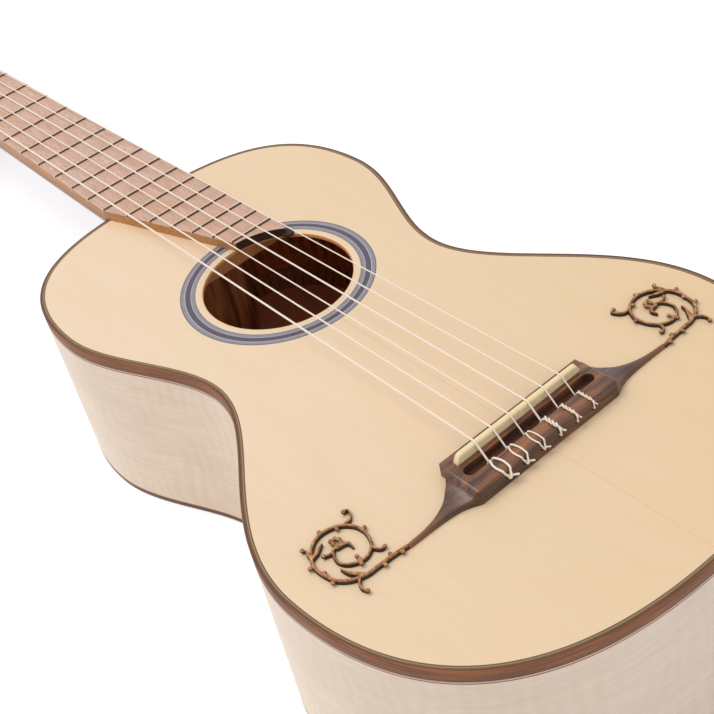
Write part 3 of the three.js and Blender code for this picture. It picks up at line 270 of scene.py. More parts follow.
# Rosewood of the bridge and the heel cap: purple brown, strong streaks, polished; paler at the stem ends
rosewoodBlock = woodMaterial("rosewood_block", {
    "turn": (0, 0, quarter), "grain": 1, "stretch": 0.05, "wander": 2.5, "wanderLength": 30,
    "tones": [(0.3, "22110d"), (0.5, "50301f"), (0.72, "9a6038")],
    "broad": [{"size": 3.5, "long": 0.1, "amount": 0.75, "tone": "b07040"},
              {"size": 6, "long": 0.12, "amount": 0.7, "tone": "38201a"}],
    # Below the bridge's top face everything darkens, in the channel, on the rear face and shoulders, and over
    # the whole heel cap: painted shade
    "fades": [("Z", 118.7, 116.2, "2a1a1a", 0.45), ("X", 60, 82, "96603c", 0.6),
              ("X", -60, -82, "96603c", 0.6)],
    "pores": {"size": 0.28, "stretch": 0.08, "from": 0.58, "amount": 0.55, "tone": "2b1610"},
    "roughness": 0.36, "bump": 0.3, "relief": 0.04, "coat": 0.3, "coatRoughness": 0.28,
})
# Unvarnished spruce and lime inside the body, browned by age
innerWood = woodMaterial("bare_inner_wood", {
    "grain": 0.9, "stretch": 0.04, "wander": 1.5, "wanderLength": 50,
    "tones": [(0.3, "cc8a50"), (0.7, "e6ac70")],
    "broad": [{"size": 25, "long": 0.2, "amount": 0.4, "tone": "b87640"}],
    "roughness": 0.62, "bump": 0.3, "relief": 0.05,
})
# The blocks: split wood, its grain upright, with darker streaks
blockWood = woodMaterial("split_block_wood", {
    "turn": (quarter, 0, 0), "grain": 1.2, "stretch": 0.04, "wander": 1.5, "wanderLength": 50,
    "tones": [(0.3, "c27840"), (0.7, "e2a064")],
    "broad": [{"size": 6, "long": 0.08, "amount": 0.85, "tone": "6a3416"}],
    "roughness": 0.62, "bump": 0.3, "relief": 0.05,
})
# Linings: even bare wood, gone brown in the dark of the body
liningWood = woodMaterial("bare_lining_wood", {
    "grain": 0.9, "stretch": 0.1, "wander": 1.5, "wanderLength": 50,
    "tones": [(0.3, "9c5a30"), (0.7, "ba733f")],
    "roughness": 0.62, "bump": 0.3, "relief": 0.05,
})
# Cedar neck and head: even red brown, fine pores, a low oiled shine
neckWood = woodMaterial("oiled_cedar_neck", {
    "grain": 1, "stretch": 0.04, "wander": 2, "wanderLength": 120,
    "tones": [(0.3, "7d4526"), (0.7, "a3653b")],
    "broad": [{"size": 20, "long": 0.1, "amount": 0.4, "tone": "8a4f2c"}],
    "pores": {"size": 0.3, "stretch": 0.06, "from": 0.6, "amount": 0.5, "tone": "57301b"},
    "roughness": 0.4, "bump": 0.25, "relief": 0.04, "coat": 0.1,
})
# Pink-grey fruitwood fingerboard, rubbed with oil: streaks change from fret to fret, short pores
boardWood = woodMaterial("oiled_fruitwood", {
    "grain": 0.8, "stretch": 0.04, "wander": 1.5, "wanderLength": 50,
    "tones": [(0.3, "c29880"), (0.7, "ebcfbc")],
    "broad": [{"size": 4, "long": 0.22, "amount": 0.6, "tone": "cb9b74"},
              {"size": 12, "long": 0.3, "amount": 0.5, "tone": "dcbab0"}],
    "pores": {"size": 0.3, "stretch": 0.06, "from": 0.56, "amount": 0.55, "tone": "8f644d"},
    "fades": [("Y", 200, 20, "cf9f78", 0.35)],
    "roughness": 0.42, "bump": 0.25, "relief": 0.03,
})
# The board's side keeps the oil and has gone orange brown
boardEdgeWood = woodMaterial("oiled_fruitwood_edge", {
    "grain": 0.8, "stretch": 0.04, "wander": 1.5, "wanderLength": 50,
    "tones": [(0.3, "a8703c"), (0.7, "c68f58")],
    "broad": [{"size": 12, "long": 0.2, "amount": 0.5, "tone": "b98a60"}],
    "roughness": 0.5, "bump": 0.2, "relief": 0.03,
})
# Near black: the board's end face round the hole, and the painted shadow beyond its treble corner
darkEndAndShadow = woodMaterial("near_black_end_and_painted_shadow", {
    "grain": 0.5, "stretch": 0.5, "wander": 0.5, "wanderLength": 10,
    "tones": [(0.3, "260e04"), (0.7, "42200c")],
    "roughness": 0.75, "bump": 0.2, "relief": 0.02,
})
# Carved pear wood, oiled; the lower sides of every stroke go near black: painted shade
carvedWood = woodMaterial("carved_pearwood", {
    "grain": 0.8, "stretch": 0.15, "wander": 2, "wanderLength": 12,
    "tones": [(0.3, "8e5428"), (0.5, "cc8a4e"), (0.7, "efbd88")],
    "broad": [{"size": 2.6, "long": 1, "amount": 0.7, "tone": "64381f"}],
    "fades": [("Z", 113.3, 112.6, "1c0d06", 1)],
    "roughness": 0.45, "bump": 0.25, "relief": 0.04,
})
# Peg wood stained near black, rubbed to a low shine
pegWood = woodMaterial("stained_pegwood", {
    "grain": 0.6, "stretch": 0.1, "wander": 1, "wanderLength": 15,
    "tones": [(0.3, "20140f"), (0.7, "3b261c")],
    "roughness": 0.28, "bump": 0.2, "relief": 0.02, "coat": 0.2,
})
# Top purfling: dark, light, dark fibre lines let in beside the binding
purflingLines = woodMaterial("purfling_lines", {
    **alongStrip, "grain": 0.5, "stretch": 0.03, "wander": 0.5, "wanderLength": 30,
    "tones": [(0.3, "5c442c"), (0.7, "7a5c3e")],
    "lines": [("Y", 2, 2.5, "a08058")],
    "roughness": 0.42, "bump": 0.1, "relief": 0.02,
})


# Rings of dyed wood round the soundhole, by distance from its middle: lilac grey, one broad dark band
rosetteLook = {
    "rings": [(46.6, 47.3, "77727b"), (49.1, 49.5, "b9b4b6"), (49.5, 52.5, "524b5c"), (52.5, 53, "bab5b7"),
              (54.8, 55.6, "6d6972")],
    "tones": [(0.3, "85828b"), (0.7, "9b98a0")],
    "grain": 0.7, "roughness": 0.4, "bump": 0.15, "relief": 0.02,
}


def rosetteMaterial():
    material, tree = newMaterial("dyed_rosette_rings")
    source = put(tree, "TexCoord").outputs["Object"]
    flat = put(tree, "VectorMath", {0: source, 1: (1, 1, 0)}, operation="MULTIPLY").outputs[0]
    radius = put(tree, "VectorMath", {0: flat}, operation="LENGTH").outputs["Value"]
    streak = put(tree, "TexNoise", {"Vector": source, "Scale": marksOf(rosetteLook["grain"]),
                                    "Detail": 3}).outputs["Fac"]
    ground = put(tree, "ValToRGB", {"Fac": streak}, stops=rosetteLook["tones"]).outputs["Color"]
    tone = layered(tree, ground, [(between(tree, radius, low, high), shade)
                                  for low, high, shade in rosetteLook["rings"]])
    bump = put(tree, "Bump", {"Strength": rosetteLook["bump"], "Distance": rosetteLook["relief"] * mm,
                              "Height": streak}).outputs[0]
    shader = put(tree, "BsdfPrincipled", {"Base Color": tone, "Roughness": rosetteLook["roughness"],
                                          "IOR": 1.5, "Normal": bump})
    put(tree, "OutputMaterial", {"Surface": shader.outputs[0]})
    return material


rosetteWood = rosetteMaterial()


# Plain materials with a fine mottle; "across" darkens one side of the piece, as painted shade
def plainMaterial(name, look):
    material, tree = newMaterial(name)
    source = put(tree, "TexCoord").outputs["Object"]
    laid = put(tree, "Mapping", {"Vector": source, "Scale": look.get("stretch", (1, 1, 1))}).outputs[0]
    mottle = put(tree, "TexNoise", {"Vector": laid, "Scale": marksOf(look["size"]),
                                    "Detail": 3}).outputs["Fac"]
    tone = put(tree, "ValToRGB", {"Fac": mottle}, stops=look["tones"]).outputs["Color"]
    if "across" in look:
        across = look["across"]
        run = put(tree, "Attribute", attribute_name="place").outputs["Vector"]
        over = put(tree, "SeparateXYZ", {"Vector": run}).outputs["Y"]
        share = put(tree, "MapRange", {0: over, 1: across["from"] * mm, 2: across["to"] * mm}).outputs[0]
        dark = put(tree, "ValToRGB", {"Fac": share}, stops=[(0, 1), (0.2, 1), (0.36, 0), (1, 0)])
        tone = layered(tree, tone, [(dark.outputs["Color"], across["tone"])])
    rough = put(tree, "MapRange", {0: mottle, 1: 0.3, 2: 0.7, 3: look["roughness"] - 0.05,
                                   4: look["roughness"] + 0.07}).outputs[0]
    bump = put(tree, "Bump", {"Strength": 0.2, "Distance": look["relief"] * mm, "Height": mottle})
    sockets = {"Base Color": tone, "Roughness": rough, "Normal": bump.outputs[0],
               "Metallic": look.get("metallic", 0)}
    if "ior" in look:
        sockets["IOR"] = look["ior"]
    put(tree, "OutputMaterial", {"Surface": put(tree, "BsdfPrincipled", sockets).outputs[0]})
    return material


# Yellowed bone with a soft shine
bone = plainMaterial("polished_bone", {"size": 2, "stretch": (1, 5, 1), "relief": 0.02, "roughness": 0.32,
                                       "tones": [(0.3, "f7dfa2"), (0.7, "ffeec0")], "ior": 1.54})
# Frets worn bright on the crown; the side that faces the bridge painted dark brown: painted shade and a
# painted dark reflection
nickelSilver = plainMaterial("worn_nickel_silver", {"size": 0.5, "stretch": (0.1, 1, 1), "relief": 0.01,
                                                    "roughness": 0.35, "metallic": 1,
                                                    "tones": [(0.3, "d2bfa6"), (0.7, "e8dac6")],
                                                    "across": {"from": -1.1, "to": 1.1, "tone": "5c4132"}})
# Nylon strings: warm white, smooth, a little shine
nylon = plainMaterial("polished_nylon", {"size": 0.6, "relief": 0.004, "roughness": 0.33, "ior": 1.53,
                                         "tones": [(0.3, "f7e8d4"), (0.7, "fdf2e2")]})
print("materials made")


# Makes an object of a drawn shape, in metres; marks scale with it
def link(bm, name):
    bmesh.ops.scale(bm, vec=(mm, mm, mm), verts=bm.verts)
    for layer in bm.verts.layers.float_vector.values():
        for vertex in bm.verts:
            vertex[layer] = vertex[layer] * mm
    mesh = bpy.data.meshes.new(name)
    bm.to_mesh(mesh)
    bm.free()
    piece = bpy.data.objects.new(name, mesh)
    scene.collection.objects.link(piece)
    return piece


def finish(piece, materials, replaced, on="guitar", bevel=0, smooth=35, segments=2):
    for material in materials if isinstance(materials, list) else [materials]:
        piece.data.materials.append(material)
    if bevel:
        rounding = piece.modifiers.new("worn edge", "BEVEL")
        rounding.width = bevel * mm
        rounding.segments = segments
        rounding.limit_method = "ANGLE"
        rounding.angle_limit = radians(smooth)
        rounding.harden_normals = True
    piece.data.shade_smooth()
    piece.data.set_sharp_from_angle(angle=radians(smooth))
    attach(piece, on)
    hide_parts(*replaced)
    return piece


# Puts a piece's modifiers into its mesh
def settle(piece):
    graph = bpy.context.evaluated_depsgraph_get()
    mesh = bpy.data.meshes.new_from_object(piece.evaluated_get(graph))
    piece.modifiers.clear()
    plain, piece.data = piece.data, mesh
    bpy.data.meshes.remove(plain)


# Cuts tools out of a piece, or joins them to it
def worked(piece, tools, operation="DIFFERENCE"):
    for k, bm in enumerate(tools):
        tool = link(bm, f"tool_{k}")
        step = piece.modifiers.new("cut", "BOOLEAN")
        step.operation, step.solver, step.object = operation, "EXACT", tool
        settle(piece)
        spent = tool.data
        bpy.data.objects.remove(tool)
        bpy.data.meshes.remove(spent)
    return piece


# A merged copy of a CAD node, with its flat faces made whole
def copied(node):
    bm = bmesh.new()
    bm.from_mesh(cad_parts[node].data)
    bmesh.ops.remove_doubles(bm, verts=bm.verts, dist=0.002 * mm)
    bmesh.ops.dissolve_limit(bm, angle_limit=radians(0.3), verts=bm.verts, edges=bm.edges)
    bmesh.ops.scale(bm, vec=(1 / mm,) * 3, verts=bm.verts)
    return bm


# How far a CAD node reaches along one axis, in millimetres
def reach(node, axis):
    along = [vertex.co[axis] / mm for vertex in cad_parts[node].data.vertices]
    return min(along), max(along)


# Closes what is open and turns every face outwards
def closed(bm):
    bmesh.ops.holes_fill(bm, edges=[e for e in bm.edges if e.is_boundary], sides=0)
    bmesh.ops.recalc_face_normals(bm, faces=bm.faces)


# Cuts away what lies behind a plane and closes the cut
def cutBehind(bm, place, ahead):
    bmesh.ops.bisect_plane(bm, geom=[*bm.verts, *bm.edges, *bm.faces], plane_co=place, plane_no=ahead,
                           clear_inner=True)
    closed(bm)


# A skin through equal rows of points, closed round each row; marks ride on the points as "place"
def skin(rows, marks=None, bm=None):
    bm = bm or bmesh.new()
    across = len(rows[0])
    layer = bm.verts.layers.float_vector.get("place") or bm.verts.layers.float_vector.new("place")
    made = bmesh.ops.create_grid(bm, x_segments=across, y_segments=len(rows) - 1, size=1)["verts"]
    for i, vertex in enumerate(made):
        row, column = divmod(i, across + 1)
        vertex.co = rows[row][column % across]
        if marks:
            vertex[layer] = marks[row][column % across]
    bmesh.ops.remove_doubles(bm, verts=made, dist=1e-4)
    closed(bm)
    return bm


# An outline drawn in (x, y), raised from one height to another
def raised(points, low, high, bm=None):
    bm = bm or bmesh.new()
    base = bm.faces.new([bm.verts.new((x, y, low)) for x, y in points])
    made = bmesh.ops.extrude_face_region(bm, geom=[base])["geom"]
    top = [v for v in made if isinstance(v, bmesh.types.BMVert)]
    bmesh.ops.translate(bm, vec=(0, 0, high - low), verts=top)
    bmesh.ops.recalc_face_normals(bm, faces=bm.faces)
    return bm


# Points round a circle
def circle(radius, count):
    return [(radius * cos(2 * pi * i / count), radius * sin(2 * pi * i / count)) for i in range(count)]


# Points over half a circle of radius 1, from foot to foot
def arch(count):
    return [(cos(pi * s), sin(pi * s)) for s in shares(count)]


# A smooth curve through the points, with points about one step apart
def smoothRun(points, step):
    line = [points[0] * 2 - points[1], *points, points[-1] * 2 - points[-2]]
    run = []
    for a, b, c, d in zip(line, line[1:], line[2:], line[3:]):
        first, middle, last = (max((q - p).length, 1e-6) ** 0.5 for p, q in ((a, b), (b, c), (c, d)))
        leaving = ((b - a) / first - (c - a) / (first + middle) + (c - b) / middle) * middle
        coming = ((c - b) / middle - (d - b) / (middle + last) + (d - c) / last) * middle
        for t in shares(max(1, round((c - b).length / step)))[:-1]:
            held, passed = (1 + 2 * t) * (1 - t) ** 2, t * t * (3 - 2 * t)
            run.append(b * held + leaving * (t * (1 - t) ** 2) + c * passed + coming * (t * t * (t - 1)))
    return [*run, points[-1]]


# Which way a line of points runs at one of them
def aheadAt(points, i):
    return (points[min(i + 1, len(points) - 1)] - points[max(i - 1, 0)]).normalized()


# A round cord along the points; its section turns as little as it can
def cord(points, radius, count):
    rows, across = [], None
    for i, point in enumerate(points):
        ahead = aheadAt(points, i)
        across = across - ahead * across.dot(ahead) if across else ahead.orthogonal()
        across.normalize()
        up = ahead.cross(across)
        rows.append([point + across * u + up * v for u, v in circle(radius, count)])
    return skin(rows)


# A profile of (from the axis, height), turned once round; a ring's profile joins its own end
def spun(profile, count, ring=False):
    bm = bmesh.new()
    points = [bm.verts.new((across, 0, height)) for across, height in profile]
    pairs = list(zip(points, points[1:] + points[:1]))
    edges = [bm.edges.new(pair) for pair in (pairs if ring else pairs[:-1])]
    bmesh.ops.spin(bm, geom=points + edges, cent=(0, 0, 0), axis=(0, 0, 1), angle=2 * pi, steps=count,
                   use_merge=True)
    bmesh.ops.remove_doubles(bm, verts=bm.verts, dist=1e-4)
    bmesh.ops.recalc_face_normals(bm, faces=bm.faces)
    return bm


# Body outline, as in the CAD
body = {
    "jointY": 139.0025, "tailY": -300.99, "upper": (107.5, 54.9625), "waist": (78, -46.0175),
    "lower": (138.2, -183.9575), "depth": 111, "topThickness": 2.5, "backThickness": 2.8,
    "ribThickness": 2.2, "steps": 152, "neckGapHalf": 13.85, "tailGapHalf": 0.05,
}
depth = body["depth"]
underTop, overBack = depth - body["topThickness"], body["backThickness"]  # the plates' inner faces
bend = {"shoulderSide": 0.45, "shoulderDown": 0.95, "upperDown": 0.36, "waistUp": 0.31, "waistDown": 0.31,
        "lowerUp": 0.43, "lowerDown": 0.46, "tailSide": 0.83}


def bezierPoint(curve, t):
    a, b, c, d = curve
    u = 1 - t
    point = a * u ** 3 + b * 3 * u * u * t + c * 3 * u * t * t + d * t ** 3
    ahead = (b - a) * 3 * u * u + (c - b) * 6 * u * t + (d - c) * 3 * t * t
    return point, ahead


def outlineCurves():
    upper, waist, lower = (Vector(body[k]) for k in ("upper", "waist", "lower"))
    joint, tail = body["jointY"], body["tailY"]
    return [
        (Vector((0, joint)), Vector((bend["shoulderSide"] * upper.x, joint)),
         Vector((upper.x, lerp(upper.y, joint, bend["shoulderDown"]))), upper),
        (upper, Vector((upper.x, lerp(upper.y, waist.y, bend["upperDown"]))),
         Vector((waist.x, lerp(waist.y, upper.y, bend["waistUp"]))), waist),
        (waist, Vector((waist.x, lerp(waist.y, lower.y, bend["waistDown"]))),
         Vector((lower.x, lerp(lower.y, waist.y, bend["lowerUp"]))), lower),
        (lower, Vector((lower.x, lerp(lower.y, tail, bend["lowerDown"]))),
         Vector((bend["tailSide"] * lower.x, tail)), Vector((0, tail))),
    ]


# Equal steps along the treble half, each (point, direction into the body, length so far)
def outlineSpots():
    fine, run, before = [], 0, None
    for curve in outlineCurves():
        for t in shares(400):
            point, ahead = bezierPoint(curve, t)
            run += (point - before).length if before else 0
            before = point
            if not fine or run > fine[-1][2]:
                fine.append((point, ahead, run))
    spots, k = [], 0
    for share in shares(body["steps"]):
        while k < len(fine) - 2 and fine[k + 1][2] < share * run:
            k += 1
        low, high = fine[k], fine[k + 1]
        part = (share * run - low[2]) / (high[2] - low[2])
        ahead = low[1].lerp(high[1], part).normalized() if low[1].length > 0 else high[1].normalized()
        spots.append((low[0].lerp(high[0], part), Vector((ahead.y, -ahead.x)), share * run))
    spots[0] = (spots[0][0], Vector((0, -1)), 0)
    spots[-1] = (spots[-1][0], Vector((0, 1)), run)
    return spots


halfOutline = outlineSpots()
halfRun = halfOutline[-1][2]


def insetPoint(spot, inset, side):
    return Vector((side * (spot[0].x + spot[1].x * inset), spot[0].y + spot[1].y * inset))


def closedOutline(inset):
    treble = [insetPoint(spot, inset, 1) for spot in halfOutline]
    return treble + [Vector((-p.x, p.y)) for p in reversed(treble[1:-1])]


# The outline's spots on one side from a half width at the neck to one at the tail
def sideSpots(side, neckHalf, tailHalf=0):
    waistY = body["waist"][1]
    kept = [s for s in halfOutline if s[0].x > (neckHalf if s[0].y > waistY else tailHalf)]

    def cutAt(half, order):
        after = next(i for i, s in enumerate(order) if s[0].x > half)
        a, b = order[after - 1], order[after]
        part = (half - a[0].x) / (b[0].x - a[0].x)
        return a[0].lerp(b[0], part), a[1].lerp(b[1], part).normalized(), lerp(a[2], b[2], part)

    line = [cutAt(neckHalf, halfOutline), *kept, cutAt(tailHalf, halfOutline[::-1])]
    return [(spot, side) for spot in line]


# The spots of both sides in one run, from the neck on the treble side round the tail and back
def roundTheTail():
    treble, bass = (sideSpots(side, body["neckGapHalf"]) for side in (1, -1))
    return treble[:-1] + [((s[0], s[1], 2 * halfRun - s[2]), side) for s, side in bass[::-1]]


# A strip bent along the spots, with its section drawn in (inset, height)
def bentStrip(spots, section):
    rows, marks = [], []
    for spot, side in spots:
        flats = [insetPoint(spot, inset, side) for inset, _ in section]
        rows.append([Vector((p.x, p.y, height)) for p, (_, height) in zip(flats, section)])
        marks.append([Vector((spot[2], inset, height)) for inset, height in section])
    return skin(rows, marks)


# Edges of the body: insets from the outline and heights above the floor
trim = {"bindingWide": 1.2, "eased": 0.5, "topBindingLow": 105, "backBinding": (0.4, 3.6), "rebate": 1.25,
        "ribLow": 3.65, "ribHigh": 104.95, "purflingFar": 3.15, "purflingLow": 109.7, "purflingBed": 109.65}
rebate = trim["rebate"]


# A binding's section, with its outer upper edge eased
def bindingSection(low, high):
    wide, eased = trim["bindingWide"], trim["eased"]
    corner = eased * (1 - sqrt(0.5))
    return [(0, low), (0, high - eased), (corner, high - corner), (eased, high), (wide, high), (wide, low)]


strip = bentStrip(roundTheTail(), bindingSection(trim["topBindingLow"], depth))
finish(link(strip, "top_edge_binding"), rosewoodStrip, ["top_binding"], smooth=50)

low, high = trim["backBinding"]
strip = bentStrip(roundTheTail(), [(inset, low + high - up) for inset, up in bindingSection(low, high)])
finish(link(strip, "back_edge_binding"), rosewoodStrip, ["back_binding"], smooth=50)

far, low = trim["purflingFar"], trim["purflingLow"]
strip = bentStrip(roundTheTail(), [(rebate, low), (rebate, depth), (far, depth), (far, low)])
finish(link(strip, "top_purfling_lines"), purflingLines, ["top_purfling"])

thick, low, high = body["ribThickness"], trim["ribLow"], trim["ribHigh"]
ribSection = [(0, low), (0, high), (rebate, high), (rebate, underTop), (thick, underTop), (thick, overBack),
              (rebate, overBack), (rebate, low)]
for name, side in sides.items():
    rib = bentStrip(sideSpots(side, body["neckGapHalf"], body["tailGapHalf"]), ribSection)
    layer = rib.verts.layers.float_vector["place"]
    for face in rib.faces:  # the inner face is bare
        face.material_index = 1 if min(v[layer].y for v in face.verts) > thick - 0.1 else 0
    finish(link(rib, f"rib_{name}_bent"), [maple, bareMaple], [f"rib_{name}"])

# Soundboard: the ring round the hole is spun, the rest reaches out to the purfling
hole = {"radius": 42.4, "edge": 0.5, "rosetteIn": 46.75, "rosetteOut": 55.45, "channel": 109.7,
        "seam": 0.05, "join": 60, "steps": 128}


def circleEdges(bm, height):
    return [e for e in bm.edges if e.is_boundary and all(
        abs(v.co.z - height) < 0.01 and abs(v.co.xy.length - hole["join"]) < 0.01 for v in e.verts)]


def outlineEdges(bm, height, inset):
    points = [bm.verts.new((*p, height)) for p in closedOutline(inset)]
    return [bm.edges.new(pair) for pair in zip(points, points[1:] + points[:1])]


r, e = hole["radius"], hole["edge"]
bm = spun([(hole["join"], depth), (hole["rosetteOut"], depth), (hole["rosetteOut"], hole["channel"]),
           (hole["rosetteIn"], hole["channel"]), (hole["rosetteIn"], depth), (r + e, depth),
           (r + e * 0.3, depth - e * 0.3), (r, depth - e), (r, underTop + e), (r + e, underTop),
           (hole["join"], underTop)], hole["steps"])
far, bed = trim["purflingFar"], trim["purflingBed"]
levels = [(far, depth), (far, bed), (rebate, bed), (rebate, underTop)]
loops = [outlineEdges(bm, height, inset) for inset, height in levels]
for first, second in zip(loops, loops[1:]):
    bmesh.ops.bridge_loops(bm, edges=first + second)
for height, loop in ((depth, loops[0]), (underTop, loops[-1])):
    bmesh.ops.triangle_fill(bm, edges=circleEdges(bm, height) + loop, use_beauty=True, normal=(0, 0, 1))
bmesh.ops.recalc_face_normals(bm, faces=bm.faces)
for face in bm.faces:  # the hole's edge shows bare wood
    face.material_index = 1 if face.calc_center_median().xy.length < r + e else 0
finish(link(bm, "soundboard_plate"), [spruce, innerWood], ["soundboard"], smooth=30)

near, far = hole["rosetteIn"] + hole["seam"], hole["rosetteOut"] - hole["seam"]
low = hole["channel"] + 2 * hole["seam"]
rings = spun([(near, low), (near, depth), (far, depth), (far, low)], hole["steps"], ring=True)
finish(link(rings, "rosette_rings"), rosetteWood, ["rosette"])

finish(link(raised(closedOutline(rebate), 0, overBack), "back_plate"), backMaple, ["back"])
print("body shell built")

# Linings: strips cut nearly through every few millimetres so that they bend
lining = {"near": 2.5, "width": 5.5, "height": 13, "foot": 4, "edge": 1.4, "neckHalf": 34.75,
          "tailHalf": 32.75, "pitch": 6.2, "kerf": 1, "slope": 0.02, "left": 1.2}


# The spot at one length along the treble half of the outline
def spotAt(run):
    after = next(i for i, s in enumerate(halfOutline) if s[2] >= run)
    a, b = halfOutline[max(after - 1, 0)], halfOutline[after]
    part = (run - a[2]) / (b[2] - a[2]) if after else 0
    return a[0].lerp(b[0], part), a[1].lerp(b[1], part).normalized(), run


def kerfedLining(side, seat, towards):
    line = sideSpots(side, lining["neckHalf"], lining["tailHalf"])
    start, end = line[0][0][2], line[-1][0][2]
    near, far = lining["near"], lining["near"] + lining["width"]
    tall, foot = seat + towards * lining["height"], seat + towards * lining["foot"]
    full = [(near, seat), (near, tall), (near + lining["edge"], tall), (far, foot), (far, seat)]
    thin = [(min(inset, near + lining["left"]), height) for inset, height in full]
    count, half = round((end - start) / lining["pitch"]), lining["kerf"] / 2
    stops = [(start, full)]
    for k in range(1, count):
        run = lerp(start, end, k / count)
        stops += [(run - half, full), (run - half + lining["slope"], thin)]
        stops += [(run + half - lining["slope"], thin), (run + half, full)]
    rows = []
    for run, section in [*stops, (end, full)]:
        flats = [insetPoint(spotAt(run), inset, side) for inset, _ in section]
        rows.append([Vector((p.x, p.y, height)) for p, (_, height) in zip(flats, section)])
    return skin(rows)


for name, side in sides.items():
    for plate, seat, towards in (("top", underTop, -1), ("back", overBack, 1)):
        node = f"{plate}_lining_{name}"
        piece = link(kerfedLining(side, seat, towards), node + "_kerfed")
        finish(piece, liningWood, [node], smooth=25)

# Braces: straight bars, rounded over and scooped down at both ends
braces = {
    "top": {"names": ["upper", "head_side", "tail_side", "lower"], "seat": underTop, "towards": -1,
            "height": 15, "endHeight": 5},
    "back": {"names": ["upper", "waist", "lower"], "seat": overBack, "towards": 1,
             "height": 13, "endHeight": 4.5},
}
scoop = {"from": 0.08, "to": 0.3, "steps": 12, "crown": 8, "crownHigh": 0.8}


def scoopedBrace(node, look):
    half, (low, high) = reach(node, 0)[1], reach(node, 1)
    wide, middle = (high - low) / 2, (high + low) / 2
    scooped = [scoop["to"] * s for s in shares(scoop["steps"])[1:]]
    rows = []
    for share in [-1, *[s - 1 for s in scooped], *[1 - s for s in scooped[::-1]], 1]:
        along = min(max((1 - abs(share) - scoop["from"]) / (scoop["to"] - scoop["from"]), 0), 1)
        tall = lerp(look["endHeight"], look["height"], along * along * (3 - 2 * along))
        crown = [(-wide * u, tall - wide * scoop["crownHigh"] * (1 - v)) for u, v in arch(scoop["crown"])]
        rows.append([Vector((share * half, middle + y, look["seat"] + look["towards"] * z))
                     for y, z in [(-wide, 0), *crown, (wide, 0)]])
    return skin(rows)


for plate, look in braces.items():
    for name in look["names"]:
        node = f"{plate}_brace_{name}"
        piece = link(scoopedBrace(node, look), node + "_scooped")
        finish(piece, innerWood, [node], smooth=40)


# A CAD node as it is, with its edges eased
def dress(node, material, bevel=0.3, smooth=35):
    finish(link(copied(node), node + "_dressed"), material, [node], bevel=bevel, smooth=smooth)


for node in ("neck_block", "tail_block"):
    dress(node, blockWood, bevel=0.5)
print("inside built")

# Neck: half an ellipse for the shaft, and a narrow deep one that grows out of it for the heel
neck = {
    "nutY": 464.0025, "jointY": body["jointY"], "rise": 2.75, "jointHalf": 28.4, "nutHalf": 23.1,
    "shaftNut": 14.5, "shaftHeel": 17, "heelHalf": 17, "heelLength": 58, "capLength": 24, "swell": 48,
    "curve": 0.38, "floor": 3.6, "keel": 1, "round": 16, "gap": 0.3, "pastNut": 5,
    "tenon": [(-11, 139.3), (-15, 123), (15, 123), (11, 139.3)], "tenonLow": 36.5, "tenonHigh": 104.7,
    "capLow": 0.5, "capHigh": 3.5, "steps": {"cap": 16, "heel": 24, "shaft": 12, "capRound": 28},
}
tilt = atan(neck["rise"] / (neck["nutY"] - neck["jointY"]))
heelEnd, shaftEnd = neck["jointY"] + neck["heelLength"], neck["nutY"] + neck["pastNut"]


def boardHalfAt(y):
    return lerp(neck["jointHalf"], neck["nutHalf"], (y - neck["jointY"]) / (neck["nutY"] - neck["jointY"]))


def neckTopAt(y):
    return depth + tan(tilt) * (y - neck["jointY"])


def heelDepthAt(y):
    out, deep = y - neck["jointY"], depth - neck["floor"]
    if out <= neck["capLength"]:
        return deep + neck["swell"] * (1 - (out / neck["capLength"]) ** 2)
    share = min((out - neck["capLength"]) / (neck["heelLength"] - neck["capLength"]), 1)
    return lerp(deep, neck["shaftHeel"], share ** neck["curve"])


def ellipseHalf(half, deep, down):
    return half * sqrt(max(1 - (down / deep) ** 2, 0))


# How far the body's end lies behind the joint line at one half width
def endAt(x):
    after = next(i for i, s in enumerate(halfOutline) if s[0].x >= x)
    a, b = halfOutline[max(after - 1, 0)][0], halfOutline[after][0]
    return lerp(a.y, b.y, (x - a.x) / (b.x - a.x)) if after else a.y


def neckSection(y, atBody):
    shaft = lerp(neck["shaftHeel"], neck["shaftNut"], max(y - heelEnd, 0) / (neck["nutY"] - heelEnd))
    deep = max(shaft, min(heelDepthAt(y), neckTopAt(y) - neck["floor"]))
    treble = []
    for share in shares(neck["round"]):
        turned = sin(quarter * share)
        down = turned * lerp(shaft, deep, turned ** 3)
        half = max(ellipseHalf(boardHalfAt(y), shaft, down),
                   ellipseHalf(neck["heelHalf"], heelDepthAt(y), down), neck["keel"])
        treble.append(Vector((half, endAt(half) + neck["gap"] if atBody else y, neckTopAt(y) - down)))
    return treble + [Vector((-p.x, p.y, p.z)) for p in reversed(treble)]


joint, steps = neck["jointY"], neck["steps"]
places = [joint + neck["gap"] + neck["capLength"] * s for s in shares(steps["cap"])]
places += [joint + lerp(neck["capLength"], neck["heelLength"], s ** 2) for s in shares(steps["heel"])][1:]
places += [lerp(heelEnd, shaftEnd, s) for s in shares(steps["shaft"])][1:]
bm = skin([neckSection(y, i == 0) for i, y in enumerate(places)])
raised(neck["tenon"], neck["tenonLow"], neck["tenonHigh"], bm)
finish(link(bm, "neck_with_heel"), neckWood, ["neck"], smooth=50)

capRun = [joint + lerp(neck["gap"], neck["capLength"], s ** 0.5) for s in shares(steps["capRound"])]
capSide = [(ellipseHalf(neck["heelHalf"], heelDepthAt(y), neckTopAt(y) - neck["floor"]), y) for y in capRun]
bm = raised(capSide + [(-x, y) for x, y in reversed(capSide[:-1])], neck["capLow"], neck["capHigh"])
finish(link(bm, "heel_cap_plate"), rosewoodBlock, ["heel_cap"], bevel=0.5, smooth=40)
dress("nut", bone, bevel=0.15)

